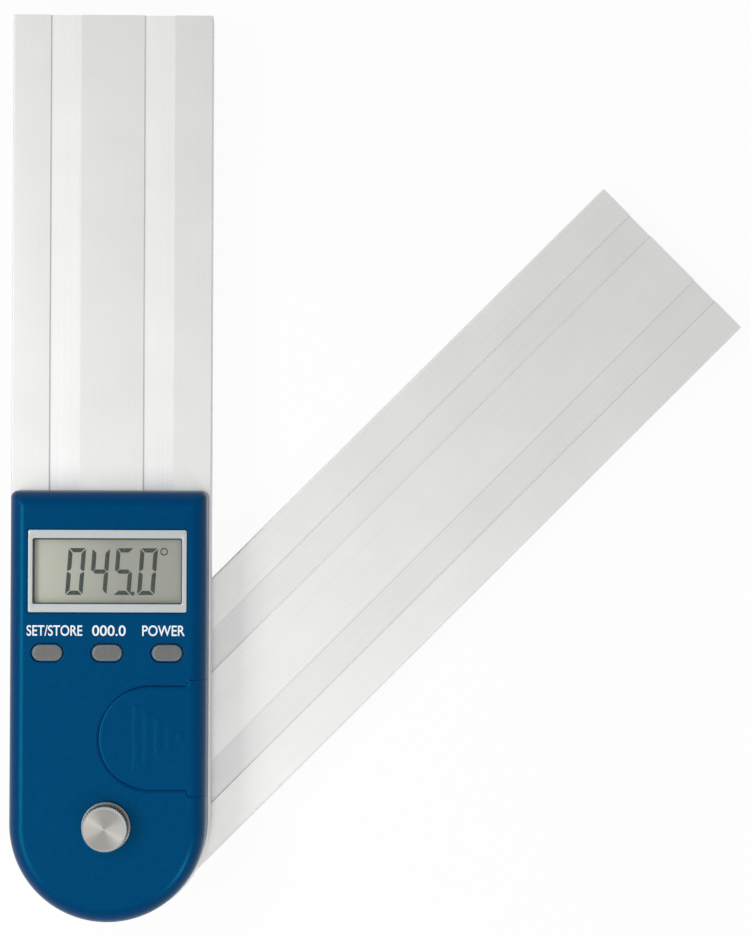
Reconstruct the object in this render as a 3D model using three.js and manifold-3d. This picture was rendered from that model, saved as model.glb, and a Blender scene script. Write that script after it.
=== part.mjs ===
// Digital angle finder with two aluminium arms, in millimetres, +Z up.
// The origin lies on the pivot axis, at the underside of the lower arm. The upper arm runs
// along +Y and carries the electronic housing. The lower arm swings below it.

import * as THREE from 'three';
import { mergeVertices } from 'three/addons/utils/BufferGeometryUtils.js';
import Module from 'manifold-3d';

const wasm = await Module();
wasm.setup();

// Driving dimensions of the two arms, which are cut from one hollow extrusion
const ARM_WIDTH = 50;
const ARM_REACH = 201.5;
const ARM_THICKNESS = 8;
const ARM_WALL = 1.6;
const ARM_WEB = 1.4;
const ARM_EDGE_RADIUS = 0.4;
const GROOVE_WIDTH = 7.75;
const GROOVE_DEPTH = 0.5;
const GROOVE_TO_ARM_EDGE = 9.4;
const ARM_GAP = 1;
const ARM_ANGLE_DEGREES = 45;

// Driving dimensions of the pivot. The shaft grows by a step at each seat, from its thread down.
const THREAD_RADIUS = 2.5;
const COLLAR_STEP = 0.9;
const ROTOR_STEP = 0.8;
const JOURNAL_STEP = 0.8;
const RIVET_STEP = 1;
const HUB_STEP = 3;
const BUSH_WALL = 1.5;
const BUSH_FLANGE_WIDTH = 1.9;
const BUSH_FLANGE_THICKNESS = 0.8;
const FRICTION_WASHER_RADIUS = 13;
const RUNNING_GAP = 0.1;

// Driving dimensions of the housing, which is a little narrower than the arm that it sits on
const HOUSING_SETBACK = 0.5;
const HOUSING_CORNER = 2;
const HOUSING_FILLET = 3;
const HOUSING_DRAFT = 0.3;
const HOUSING_WALL = 2;
const LID_THICKNESS = 2;
const FIT_GAP = 0.2;

// The stack inside the housing, from the upper arm to the top of the battery cover
const BASE_PLATE_THICKNESS = 1;
const ROTOR_THICKNESS = 1;
const ROTOR_GAP = 0.4;
const BOARD_THICKNESS = 1;
const HOLDER_FLOOR = 0.6;
const CELL_THICKNESS = 3.2;
const CELL_HEADROOM = 0.5;
const COVER_PLATE = 1.4;

// The coin cell, its holder and the battery cover above them
const CELL_RADIUS = 10;
const HOLDER_CLEARANCE = 0.25;
const HOLDER_WALL = 0.95;
const RUNNER_GAP = 0.25;
const RUNNER_WALL = 0.9;
const RUNNER_SETBACK = 0.25;
const RUNNER_LIP = 1.1;
const COVER_STEP = 1.5;
const COVER_MOUTH_DEPTH = 5.4;
const COVER_SEAM = 0.25;
const HOLDER_TO_WALL = 0.6;
const COVER_FROM_PIVOT = 8.8;

// The display and the buttons on the lid, and the spaces between them and round them
const FRAME_SIDE_MARGIN = 5.1;
const FRAME_LENGTH = 20.2;
const FRAME_CORNER = 1;
const FRAME_SIDE_RIM = 1.1;
const FRAME_END_RIM = 2.05;
const FRAME_TO_TOP_EDGE = 9.9;
const BUTTON_WIDTH = 7.5;
const BUTTON_LENGTH = 4.2;
const BUTTON_SIDE_INSET = 9.85;
const COVER_TO_BUTTONS = 4.7;
const BUTTONS_TO_FRAME = 7.8;
const BUTTON_TRAVEL = 0.5;

// The lock knob
const KNOB_RADIUS = 5.55;
const KNOB_HEIGHT = 4.4;
const KNOB_WASHER_RIM = 0.5;
const KNOB_WASHER_THICKNESS = 1;
const KNOB_REST_GAP = 0.25;

// The case screws and their bosses
const BOSS_RADIUS = 2.6;
const BOSS_INSET = 5.3;
const LOWER_BOSS_DEGREES = 25;
const SCREW_RADIUS = 1.4;
const SCREW_HEAD_RADIUS = 2.4;
const SCREW_HEAD_HEIGHT = 1.8;
const SCREW_CLEARANCE = 0.2;
const ACCESS_CLEARANCE = 0.8;

// Every cut runs past the face it opens by this much
const OVERRUN = 1;

// Facets on round forms
const ROUND = 36;
const SMALL_ROUND = 16;
const END_ARC_STEPS = 32;
const CORNER_STEPS = 4;
const FILLET_STEPS = 6;

// Heights worked out from the stack
const UPPER_ARM_BOTTOM = ARM_THICKNESS + ARM_GAP;
const ARM_TOP = UPPER_ARM_BOTTOM + ARM_THICKNESS;
const PLATE_TOP = ARM_TOP + BASE_PLATE_THICKNESS;
const ROTOR_BOTTOM = PLATE_TOP + ROTOR_GAP;
const ROTOR_TOP = ROTOR_BOTTOM + ROTOR_THICKNESS;
const BOARD_BOTTOM = ROTOR_TOP + ROTOR_GAP;
const BOARD_TOP = BOARD_BOTTOM + BOARD_THICKNESS;
const CELL_BOTTOM = BOARD_TOP + HOLDER_FLOOR;
const CELL_TOP = CELL_BOTTOM + CELL_THICKNESS;
const COVER_UNDERSIDE = CELL_TOP + CELL_HEADROOM;
const LID_TOP = COVER_UNDERSIDE + COVER_PLATE;
const LID_UNDERSIDE = LID_TOP - LID_THICKNESS;

// Radii of the shaft, worked out from its steps
const COLLAR_SEAT_RADIUS = THREAD_RADIUS + COLLAR_STEP;
const ROTOR_SEAT_RADIUS = COLLAR_SEAT_RADIUS + ROTOR_STEP;
const JOURNAL_RADIUS = ROTOR_SEAT_RADIUS + JOURNAL_STEP;
const RIVET_RADIUS = JOURNAL_RADIUS + RIVET_STEP;
const HUB_RADIUS = RIVET_RADIUS + HUB_STEP;

// Widths worked out from the driving dimensions
const ARM_HALF = ARM_WIDTH / 2;
const GROOVE_INNER_EDGE = ARM_HALF - GROOVE_TO_ARM_EDGE - GROOVE_WIDTH;
const HOUSING_HALF = ARM_HALF - HOUSING_SETBACK;
const INNER_HALF = HOUSING_HALF - HOUSING_WALL;
const BUSH_RADIUS = JOURNAL_RADIUS + RUNNING_GAP + BUSH_WALL;
const HOLDER_RADIUS = CELL_RADIUS + HOLDER_CLEARANCE + HOLDER_WALL;
const RUNNER_INNER = HOLDER_RADIUS + RUNNER_GAP;
const RUNNER_OUTER = RUNNER_INNER + RUNNER_WALL;
const COVER_RADIUS = RUNNER_OUTER + RUNNER_SETBACK;
const COVER_STEP_START = HOUSING_HALF - COVER_MOUTH_DEPTH;
const KNOB_WASHER_RADIUS = KNOB_RADIUS + KNOB_WASHER_RIM;
const FRAME_WIDTH = 2 * (HOUSING_HALF - FRAME_SIDE_MARGIN);
const WINDOW_WIDTH = FRAME_WIDTH - 2 * FRAME_SIDE_RIM;
const WINDOW_LENGTH = FRAME_LENGTH - 2 * FRAME_END_RIM;

// Places on the lid, worked out from the pivot towards the housing's square end
const CELL_X = INNER_HALF - HOLDER_RADIUS - HOLDER_TO_WALL;
const CELL_Y = COVER_FROM_PIVOT + COVER_RADIUS;
const BUTTON_PITCH = HOUSING_HALF - BUTTON_SIDE_INSET;
const BUTTON_Y = CELL_Y + COVER_RADIUS + COVER_STEP + COVER_TO_BUTTONS + BUTTON_LENGTH / 2;
const DISPLAY_Y = BUTTON_Y + BUTTON_LENGTH / 2 + BUTTONS_TO_FRAME + FRAME_LENGTH / 2;
const HOUSING_TOP_EDGE = DISPLAY_Y + FRAME_LENGTH / 2 + FRAME_TO_TOP_EDGE;

// Takes a closed geometry and gives it to the boolean library as a solid.
function solid(geometry) {
  const bare = geometry.clone();
  bare.deleteAttribute('normal');
  bare.deleteAttribute('uv');
  const merged = mergeVertices(bare);
  const corners = merged.index.array;
  const kept = [];
  for (let i = 0; i < corners.length; i += 3) {
    const [a, b, c] = [corners[i], corners[i + 1], corners[i + 2]];
    if (a !== b && b !== c && c !== a) kept.push(a, b, c);
  }
  return new wasm.Manifold(new wasm.Mesh({
    numProp: 3,
    vertProperties: new Float32Array(merged.attributes.position.array),
    triVerts: new Uint32Array(kept),
  }));
}

// Turns a solid back into a geometry.
function geometryOf(body) {
  const mesh = body.getMesh();
  const geometry = new THREE.BufferGeometry();
  geometry.setAttribute('position', new THREE.BufferAttribute(mesh.vertProperties, 3));
  geometry.setIndex(new THREE.BufferAttribute(mesh.triVerts, 1));
  geometry.computeVertexNormals();
  return geometry;
}

// A round bar along Z.
function disc(radius, bottom, top, x = 0, y = 0, segments = ROUND) {
  const bar = new THREE.CylinderGeometry(radius, radius, top - bottom, segments);
  bar.rotateX(Math.PI / 2);
  bar.translate(x, y, (bottom + top) / 2);
  return solid(bar);
}

// A box between two corners.
function block(x0, x1, y0, y1, z0, z1) {
  const box = new THREE.BoxGeometry(x1 - x0, y1 - y0, z1 - z0);
  box.translate((x0 + x1) / 2, (y0 + y1) / 2, (z0 + z1) / 2);
  return solid(box);
}

// A shape seen from above, raised from one height to another.
function prism(shape, bottom, top) {
  const plate = new THREE.ExtrudeGeometry(shape, { depth: top - bottom, bevelEnabled: false });
  plate.translate(0, 0, bottom);
  return solid(plate);
}

// A piece turned on a lathe, from [radius, height] pairs that run up its outside.
function turned(profile, segments = ROUND) {
  const points = profile.map(([radius, height]) => new THREE.Vector2(radius, height));
  const lathe = new THREE.LatheGeometry(points, segments);
  lathe.rotateX(Math.PI / 2);
  return solid(lathe);
}

// A flat ring along Z.
function ring(inner, outer, bottom, top, segments = ROUND) {
  return turned([[inner, bottom], [outer, bottom], [outer, top], [inner, top], [inner, bottom]], segments);
}

// A skin through rings of as many points each, from the lowest to the highest, closed at both ends.
function loft(rings) {
  const count = rings[0].points.length;
  const positions = [];
  for (const { points, height } of rings) {
    for (const point of points) positions.push(point.x, point.y, height);
  }
  const faces = [];
  for (let level = 0; level < rings.length - 1; level++) {
    for (let i = 0; i < count; i++) {
      const a = level * count + i;
      const b = level * count + (i + 1) % count;
      faces.push(a, b, b + count, a, b + count, a + count);
    }
  }
  const last = (rings.length - 1) * count;
  for (const [a, b, c] of THREE.ShapeUtils.triangulateShape(rings[0].points, [])) {
    faces.push(a, c, b);
  }
  for (const [a, b, c] of THREE.ShapeUtils.triangulateShape(rings[rings.length - 1].points, [])) {
    faces.push(last + a, last + b, last + c);
  }
  const skin = new THREE.BufferGeometry();
  skin.setAttribute('position', new THREE.Float32BufferAttribute(positions, 3));
  skin.setIndex(faces);
  return solid(skin);
}

// Points along an arc, both ends included.
function arc(x, y, radius, from, to, steps) {
  const points = [];
  for (let i = 0; i <= steps; i++) {
    const angle = from + (to - from) * i / steps;
    points.push(new THREE.Vector2(x + radius * Math.cos(angle), y + radius * Math.sin(angle)));
  }
  return points;
}

// A rectangle with round corners, centred on a place.
function roundedRectangle(width, length, corner, x = 0, y = 0, steps = CORNER_STEPS) {
  const reachX = width / 2 - corner;
  const reachY = length / 2 - corner;
  return new THREE.Shape([
    ...arc(x + reachX, y - reachY, corner, -Math.PI / 2, 0, steps),
    ...arc(x + reachX, y + reachY, corner, 0, Math.PI / 2, steps),
    ...arc(x - reachX, y + reachY, corner, Math.PI / 2, Math.PI, steps),
    ...arc(x - reachX, y - reachY, corner, Math.PI, Math.PI * 3 / 2, steps),
  ]);
}

// An oval with straight sides and round ends, as the buttons have.
function oval(width, length, x = 0, y = 0) {
  return roundedRectangle(width, length, length / 2, x, y, SMALL_ROUND / 4);
}

// One named piece with its own material.
function piece(name, body, color, roughness, metalness = 0) {
  const material = new THREE.MeshStandardMaterial({ color, roughness, metalness });
  const mesh = new THREE.Mesh(geometryOf(body), material);
  mesh.name = name;
  return mesh;
}

// Colours and finishes
const ALUMINIUM = 0xd9dad8;
const STEEL = 0xb9bbbd;
const BRASS = 0xc9a85a;
const NYLON = 0xe6e4dc;
const BLUE = 0x0a4973;
const SILVER = 0xc5d0d5;
const BUTTON_GREY = 0x7d7a75;
const LCD_GREY = 0xa9aa9e;
const BOARD_GREEN = 0x1f5a38;
const BLACK = 0x1c1d1f;
const CLEAR = 0xe8efef;
const GLASS_FIBRE = 0xb9a86a;

// The arms. Each is a length of hollow extrusion with a flat underside, two shallow grooves
// along its top and a web below each groove. The pivot end is milled round.

// The bar's section lies in the XZ plane while it is drawn: a rectangle with eased corners.
function armBar() {
  const length = ARM_REACH + ARM_HALF;
  const section = roundedRectangle(ARM_WIDTH, ARM_THICKNESS, ARM_EDGE_RADIUS, 0, ARM_THICKNESS / 2);
  const bar = new THREE.ExtrudeGeometry(section, { depth: length, bevelEnabled: false });
  bar.rotateX(Math.PI / 2);
  bar.translate(0, ARM_REACH, 0);
  return solid(bar);
}

// A cut along the whole bar, between two places across it and two heights.
function lengthwise(left, right, bottom, top) {
  return block(left, right, -ARM_HALF - OVERRUN, ARM_REACH + OVERRUN, bottom, top);
}

function armBlank() {
  const webCentre = GROOVE_INNER_EDGE + GROOVE_WIDTH / 2;
  const webInner = webCentre - ARM_WEB / 2;
  const webOuter = webCentre + ARM_WEB / 2;
  const wall = ARM_HALF - ARM_WALL;
  const grooveOuter = GROOVE_INNER_EDGE + GROOVE_WIDTH;
  const grooveFloor = ARM_THICKNESS - GROOVE_DEPTH;
  let bar = armBar();
  for (const [left, right] of [[-grooveOuter, -GROOVE_INNER_EDGE], [GROOVE_INNER_EDGE, grooveOuter]]) {
    bar = bar.subtract(lengthwise(left, right, grooveFloor, ARM_THICKNESS + OVERRUN));
  }
  for (const [left, right] of [[-wall, -webOuter], [-webInner, webInner], [webOuter, wall]]) {
    bar = bar.subtract(lengthwise(left, right, ARM_WALL, ARM_THICKNESS - ARM_WALL));
  }
  const plan = new THREE.Shape([
    ...arc(0, 0, ARM_HALF, Math.PI, 2 * Math.PI, END_ARC_STEPS),
    new THREE.Vector2(ARM_HALF, ARM_REACH + OVERRUN),
    new THREE.Vector2(-ARM_HALF, ARM_REACH + OVERRUN),
  ]);
  return bar.intersect(prism(plan, -OVERRUN, ARM_THICKNESS + OVERRUN));
}

// Where the case screws stand: two by the housing's square end and two by its round end.
function screwPlaces() {
  const side = HOUSING_HALF - BOSS_INSET;
  const angle = THREE.MathUtils.degToRad(LOWER_BOSS_DEGREES);
  const low = [side * Math.cos(angle), -side * Math.sin(angle)];
  const high = [side, HOUSING_TOP_EDGE - BOSS_INSET];
  return [[-high[0], high[1]], high, [-low[0], low[1]], low];
}

function lowerArm() {
  const seat = ARM_THICKNESS - ARM_WALL;
  return armBlank()
    .subtract(disc(HUB_RADIUS + RUNNING_GAP, -OVERRUN, seat))
    .subtract(disc(RIVET_RADIUS + RUNNING_GAP, seat - OVERRUN, ARM_THICKNESS + OVERRUN));
}

function upperArm() {
  const bore = BUSH_RADIUS + RUNNING_GAP;
  let arm = armBlank().subtract(disc(bore, -OVERRUN, ARM_THICKNESS + OVERRUN));
  for (const [x, y] of screwPlaces()) {
    const hole = SCREW_RADIUS + SCREW_CLEARANCE;
    const access = SCREW_HEAD_RADIUS + ACCESS_CLEARANCE;
    arm = arm
      .subtract(disc(hole, ARM_WALL, ARM_THICKNESS + OVERRUN, x, y, SMALL_ROUND))
      .subtract(disc(access, -OVERRUN, ARM_WALL + OVERRUN, x, y, SMALL_ROUND));
  }
  return arm.translate([0, 0, UPPER_ARM_BOTTOM]);
}

// The pivot. A turned steel shaft is riveted into the lower arm. It runs in a brass bush in the
// upper arm, carries the encoder's rotor disc, and ends in the thread for the lock knob.

const SHAFT_TOP = LID_TOP + KNOB_REST_GAP + KNOB_WASHER_THICKNESS + KNOB_HEIGHT / 2;
const COLLAR_HEIGHT = 1.2;

function pivotShaft() {
  const chamfer = 0.3;
  const shoulder = ARM_THICKNESS - ARM_WALL;
  const flat = ROTOR_SEAT_RADIUS - chamfer;
  const post = turned([
    [0, 0],
    [HUB_RADIUS - chamfer, 0],
    [HUB_RADIUS, chamfer],
    [HUB_RADIUS, shoulder],
    [RIVET_RADIUS, shoulder],
    [RIVET_RADIUS, ARM_THICKNESS],
    [JOURNAL_RADIUS, ARM_THICKNESS],
    [JOURNAL_RADIUS, ROTOR_BOTTOM],
    [ROTOR_SEAT_RADIUS, ROTOR_BOTTOM],
    [ROTOR_SEAT_RADIUS, ROTOR_TOP],
    [COLLAR_SEAT_RADIUS, ROTOR_TOP],
    [COLLAR_SEAT_RADIUS, ROTOR_TOP + COLLAR_HEIGHT],
    [THREAD_RADIUS, ROTOR_TOP + COLLAR_HEIGHT],
    [THREAD_RADIUS, SHAFT_TOP - chamfer],
    [THREAD_RADIUS - chamfer, SHAFT_TOP],
    [0, SHAFT_TOP],
  ]);
  const beside = block(flat, HUB_RADIUS, -HUB_RADIUS, HUB_RADIUS, ROTOR_BOTTOM, ROTOR_TOP);
  return post.subtract(beside);
}

function encoderRotor() {
  const bossClearance = 2.6;
  const radius = HOUSING_HALF - BOSS_INSET - BOSS_RADIUS - bossClearance;
  const seat = ROTOR_SEAT_RADIUS + RUNNING_GAP / 2;
  const flat = ROTOR_SEAT_RADIUS - 2 * RUNNING_GAP;
  const hole = disc(seat, ROTOR_BOTTOM - OVERRUN, ROTOR_TOP + OVERRUN)
    .subtract(block(flat, HUB_RADIUS, -HUB_RADIUS, HUB_RADIUS, ROTOR_BOTTOM - OVERRUN, ROTOR_TOP + OVERRUN));
  return disc(radius, ROTOR_BOTTOM, ROTOR_TOP).subtract(hole);
}

function rotorCollar() {
  const wall = 1.1;
  const inner = COLLAR_SEAT_RADIUS + RUNNING_GAP;
  return ring(inner, inner + wall, ROTOR_TOP, ROTOR_TOP + COLLAR_HEIGHT);
}

function frictionWasher() {
  const inner = JOURNAL_RADIUS + 2 * RUNNING_GAP;
  return ring(inner, FRICTION_WASHER_RADIUS, ARM_THICKNESS, UPPER_ARM_BOTTOM - RUNNING_GAP);
}

function pivotBush() {
  const inner = JOURNAL_RADIUS + RUNNING_GAP;
  const flange = BUSH_RADIUS + BUSH_FLANGE_WIDTH;
  return turned([
    [inner, UPPER_ARM_BOTTOM],
    [BUSH_RADIUS, UPPER_ARM_BOTTOM],
    [BUSH_RADIUS, ARM_TOP],
    [flange, ARM_TOP],
    [flange, ARM_TOP + BUSH_FLANGE_THICKNESS],
    [inner, ARM_TOP + BUSH_FLANGE_THICKNESS],
    [inner, UPPER_ARM_BOTTOM],
  ]);
}

// The housing. A moulded shell with a half-round end over the pivot, a drafted wall and a filleted
// rim. The battery cover is cut from the same outer form, so the two run flush.

function housingOutline(inset) {
  const sharpest = 0.2;
  const half = HOUSING_HALF - inset;
  const top = HOUSING_TOP_EDGE - inset;
  const corner = Math.max(HOUSING_CORNER - inset, sharpest);
  return [
    ...arc(0, 0, half, Math.PI, 2 * Math.PI, END_ARC_STEPS),
    ...arc(half - corner, top - corner, corner, 0, Math.PI / 2, CORNER_STEPS),
    ...arc(corner - half, top - corner, corner, Math.PI / 2, Math.PI, CORNER_STEPS),
  ];
}

function housingForm() {
  const rings = [{ points: housingOutline(0), height: ARM_TOP }];
  for (let i = 0; i <= FILLET_STEPS; i++) {
    const angle = Math.PI / 2 * i / FILLET_STEPS;
    const inset = HOUSING_DRAFT + HOUSING_FILLET * (1 - Math.cos(angle));
    const height = LID_TOP - HOUSING_FILLET * (1 - Math.sin(angle));
    rings.push({ points: housingOutline(inset), height });
  }
  return loft(rings);
}

function housingCavity() {
  const chamfer = 1;
  return loft([
    { points: housingOutline(HOUSING_WALL), height: ARM_TOP - OVERRUN },
    { points: housingOutline(HOUSING_WALL), height: LID_UNDERSIDE - chamfer },
    { points: housingOutline(HOUSING_WALL + chamfer), height: LID_UNDERSIDE },
  ]);
}

// The battery cover's edge seen from above: a half circle over the coin cell, straight sides and
// a step out to the wider mouth that its runners leave by.
function coverOutline(grow) {
  const radius = COVER_RADIUS + grow;
  const bend = COVER_STEP / 2;
  const step = COVER_STEP_START - grow;
  const end = HOUSING_HALF + OVERRUN;
  const quarter = Math.PI / 2;
  return new THREE.Shape([
    ...arc(CELL_X, CELL_Y, radius, quarter, 3 * quarter, END_ARC_STEPS),
    ...arc(step, CELL_Y - radius - bend, bend, quarter, 0, CORNER_STEPS),
    ...arc(step + COVER_STEP, CELL_Y - radius - bend, bend, 2 * quarter, 3 * quarter, CORNER_STEPS),
    new THREE.Vector2(end, CELL_Y - radius - COVER_STEP),
    new THREE.Vector2(end, CELL_Y + radius + COVER_STEP),
    ...arc(step + COVER_STEP, CELL_Y + radius + bend, bend, quarter, 2 * quarter, CORNER_STEPS),
    ...arc(step, CELL_Y + radius + bend, bend, 0, -quarter, CORNER_STEPS),
  ]);
}

const SHELL_BELOW_FLAP = 3;
const COVER_FLAP_BOTTOM = ARM_TOP + SHELL_BELOW_FLAP;

function batteryCover() {
  const ribWidth = 1.2;
  const ribHeight = 0.25;
  const ribPitch = 2.7;
  const ribCount = 5;
  const ribsStartBeforeCell = 3.5;
  const firstRibX = CELL_X - ribsStartBeforeCell;
  const longestRib = 16.2;
  const shortestRib = 2.6;
  const tongue = 0.9;
  const flapX = INNER_HALF;
  const low = COVER_UNDERSIDE;
  const runnerBottom = low - HOUSING_WALL;
  let cover = housingForm().intersect(prism(coverOutline(0), COVER_FLAP_BOTTOM, LID_TOP + OVERRUN));
  const hollow = CELL_X - COVER_RADIUS - OVERRUN;
  const across = COVER_RADIUS + COVER_STEP + OVERRUN;
  cover = cover.subtract(block(hollow, flapX, CELL_Y - across, CELL_Y + across, ARM_TOP, low));
  for (const side of [-1, 1]) {
    const inner = CELL_Y + side * RUNNER_INNER;
    const outer = CELL_Y + side * RUNNER_OUTER;
    const lip = CELL_Y + side * (RUNNER_OUTER + RUNNER_LIP);
    const wall = [Math.min(inner, outer), Math.max(inner, outer)];
    const foot = [Math.min(inner, lip), Math.max(inner, lip)];
    cover = cover
      .add(block(CELL_X, COVER_STEP_START, wall[0], wall[1], runnerBottom, low + COVER_PLATE / 2))
      .add(block(CELL_X, COVER_STEP_START, foot[0], foot[1], runnerBottom, runnerBottom + tongue));
  }
  for (let i = 0; i < ribCount; i++) {
    const x = firstRibX + i * ribPitch;
    const half = (longestRib + (shortestRib - longestRib) * i / (ribCount - 1)) / 2;
    const rib = block(x - ribWidth / 2, x + ribWidth / 2, CELL_Y - half, CELL_Y + half,
      LID_TOP - ribHeight, LID_TOP + ribHeight);
    cover = cover.add(rib);
  }
  return cover;
}

const LENS_THICKNESS = 0.8;
const LENS_LEDGE = 0.4;
const LENS_BOTTOM = LID_UNDERSIDE + LENS_LEDGE;
const LENS_TOP = LENS_BOTTOM + LENS_THICKNESS;

function housingShell() {
  const boreClearance = 0.7;
  const pilotRadius = SCREW_RADIUS + RUNNING_GAP / 2;
  const windowMargin = 0.1;
  const bossTop = LID_UNDERSIDE + LID_THICKNESS / 4;
  let shell = housingForm().subtract(housingCavity());
  for (const [x, y] of screwPlaces()) {
    shell = shell.add(disc(BOSS_RADIUS, ARM_TOP, bossTop, x, y, SMALL_ROUND));
  }
  for (const [x, y] of screwPlaces()) {
    shell = shell.subtract(disc(pilotRadius, ARM_TOP - OVERRUN, LID_UNDERSIDE, x, y, SMALL_ROUND));
  }
  const pocket = roundedRectangle(FRAME_WIDTH + FIT_GAP, FRAME_LENGTH + FIT_GAP, FRAME_CORNER, 0, DISPLAY_Y);
  const window = roundedRectangle(WINDOW_WIDTH + windowMargin, WINDOW_LENGTH + windowMargin,
    FRAME_CORNER / 2, 0, DISPLAY_Y);
  shell = shell
    .subtract(prism(pocket, LENS_BOTTOM, LID_TOP + OVERRUN))
    .subtract(prism(window, LID_UNDERSIDE - OVERRUN, LID_TOP + OVERRUN));
  for (const side of [-1, 0, 1]) {
    const hole = oval(BUTTON_WIDTH + 2 * FIT_GAP, BUTTON_LENGTH + 2 * FIT_GAP, side * BUTTON_PITCH, BUTTON_Y);
    shell = shell.subtract(prism(hole, LID_UNDERSIDE - OVERRUN, LID_TOP + OVERRUN));
  }
  const bore = disc(THREAD_RADIUS + boreClearance, LID_UNDERSIDE - OVERRUN, LID_TOP + OVERRUN);
  const mouth = prism(coverOutline(COVER_SEAM), COVER_FLAP_BOTTOM - COVER_SEAM, LID_TOP + OVERRUN);
  return shell.subtract(bore).subtract(mouth);
}

// A plate with the inside outline of the housing, cut clear of the screw bosses.
function insidePlate(bottom, top, pivotHole) {
  const inset = HOUSING_WALL + FIT_GAP;
  const bossHole = BOSS_RADIUS + 2 * FIT_GAP;
  let plate = prism(new THREE.Shape(housingOutline(inset)), bottom, top)
    .subtract(disc(pivotHole, bottom - OVERRUN, top + OVERRUN));
  for (const [x, y] of screwPlaces()) {
    plate = plate.subtract(disc(bossHole, bottom - OVERRUN, top + OVERRUN, x, y, SMALL_ROUND));
  }
  return plate;
}

// Where the posts that carry the circuit board stand: beside the coin cell, between the buttons
// and the display, and under the display.
function postPlaces() {
  const inset = 6.6;
  const beyondCell = 2.5;
  const beyondButtons = 5;
  const beyondDisplay = 1.9;
  const side = HOUSING_HALF - inset;
  return [
    [-side, CELL_Y + beyondCell],
    [side, BUTTON_Y + BUTTON_LENGTH / 2 + beyondButtons],
    [-side, DISPLAY_Y + beyondDisplay],
  ];
}

const BOARD_SCREW_RADIUS = 0.8;

function basePlate() {
  const postRadius = 2;
  const flange = BUSH_RADIUS + BUSH_FLANGE_WIDTH;
  let plate = insidePlate(ARM_TOP, PLATE_TOP, flange + FIT_GAP);
  for (const [x, y] of postPlaces()) {
    plate = plate
      .add(disc(postRadius, PLATE_TOP - BASE_PLATE_THICKNESS / 2, BOARD_BOTTOM, x, y, SMALL_ROUND))
      .subtract(disc(BOARD_SCREW_RADIUS + RUNNING_GAP, ARM_TOP - OVERRUN, BOARD_BOTTOM + OVERRUN,
        x, y, SMALL_ROUND));
  }
  return plate;
}

function mainBoard() {
  const roomRoundCollar = 2;
  const pivotHole = COLLAR_SEAT_RADIUS + roomRoundCollar;
  let board = insidePlate(BOARD_BOTTOM, BOARD_TOP, pivotHole);
  for (const [x, y] of postPlaces()) {
    const hole = disc(BOARD_SCREW_RADIUS + RUNNING_GAP, BOARD_BOTTOM - OVERRUN, BOARD_TOP + OVERRUN,
      x, y, SMALL_ROUND);
    board = board.subtract(hole);
  }
  return board;
}

// A pan-head screw that stands on its head's seat and points up, with a cross recess.
function screw(radius, headRadius, headHeight, length, direction) {
  const recess = headRadius / 5;
  const profile = [
    [0, -headHeight],
    [headRadius * 0.8, -headHeight],
    [headRadius, -headHeight / 2],
    [headRadius, 0],
    [radius, 0],
    [radius, length - radius / 2],
    [radius / 2, length],
    [0, length],
  ];
  let body = turned(profile, SMALL_ROUND);
  const arm = headRadius * 0.6;
  const depth = headHeight / 2;
  for (const [dx, dy] of [[arm, recess], [recess, arm]]) {
    body = body.subtract(block(-dx, dx, -dy, dy, -headHeight - OVERRUN, depth - headHeight));
  }
  return direction > 0 ? body : body.rotate([180, 0, 0]);
}

function caseScrew(x, y) {
  const length = LID_UNDERSIDE - ARM_TOP - FIT_GAP + ARM_WALL - SCREW_RADIUS;
  return screw(SCREW_RADIUS, SCREW_HEAD_RADIUS, SCREW_HEAD_HEIGHT, length, 1)
    .translate([x, y, ARM_TOP - ARM_WALL]);
}

function boardScrew(x, y) {
  const headRadius = 1.6;
  const headHeight = 0.8;
  const length = BOARD_TOP - ARM_TOP - 2 * FIT_GAP;
  return screw(BOARD_SCREW_RADIUS, headRadius, headHeight, length, -1).translate([x, y, BOARD_TOP]);
}

// The display. A silver frame holds a clear lens in the lid's pocket. The liquid crystal panel
// lies below the lid, and a rubber contact strip joins it to the board.

function displayFrame() {
  const proud = 0.1;
  const bevel = 0.3;
  const rim = LID_TOP + proud;
  const outer = (inset) => roundedRectangle(FRAME_WIDTH - 2 * inset, FRAME_LENGTH - 2 * inset,
    FRAME_CORNER, 0, DISPLAY_Y).getPoints();
  const body = loft([
    { points: outer(0), height: LENS_TOP },
    { points: outer(0), height: rim - bevel },
    { points: outer(bevel), height: rim },
  ]);
  const opening = roundedRectangle(WINDOW_WIDTH, WINDOW_LENGTH, FRAME_CORNER / 2, 0, DISPLAY_Y);
  return body.subtract(prism(opening, LENS_TOP - OVERRUN, rim + OVERRUN));
}

function displayLens() {
  const shape = roundedRectangle(FRAME_WIDTH, FRAME_LENGTH, FRAME_CORNER, 0, DISPLAY_Y);
  return prism(shape, LENS_BOTTOM, LENS_TOP);
}

const PANEL_THICKNESS = 2;
const PANEL_BOTTOM = LID_UNDERSIDE - PANEL_THICKNESS;

function lcdPanel() {
  const margin = 0.8;
  const ledge = 2.4;
  const width = FRAME_WIDTH + 2 * margin;
  const length = FRAME_LENGTH + 2 * margin;
  const back = roundedRectangle(width, length, FRAME_CORNER / 2, 0, DISPLAY_Y);
  const half = length / 2;
  const step = block(-width, width, DISPLAY_Y - half - OVERRUN, DISPLAY_Y - half + ledge,
    PANEL_BOTTOM - OVERRUN, PANEL_BOTTOM + PANEL_THICKNESS / 2);
  return prism(back, PANEL_BOTTOM, LID_UNDERSIDE).subtract(step);
}

function contactStrip() {
  const width = 1.8;
  const margin = 0.8;
  const inset = 0.2;
  const y = DISPLAY_Y - FRAME_LENGTH / 2 - margin + inset;
  const half = WINDOW_WIDTH / 2;
  return block(-half, half, y, y + width, BOARD_TOP, PANEL_BOTTOM + PANEL_THICKNESS / 2);
}

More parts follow.
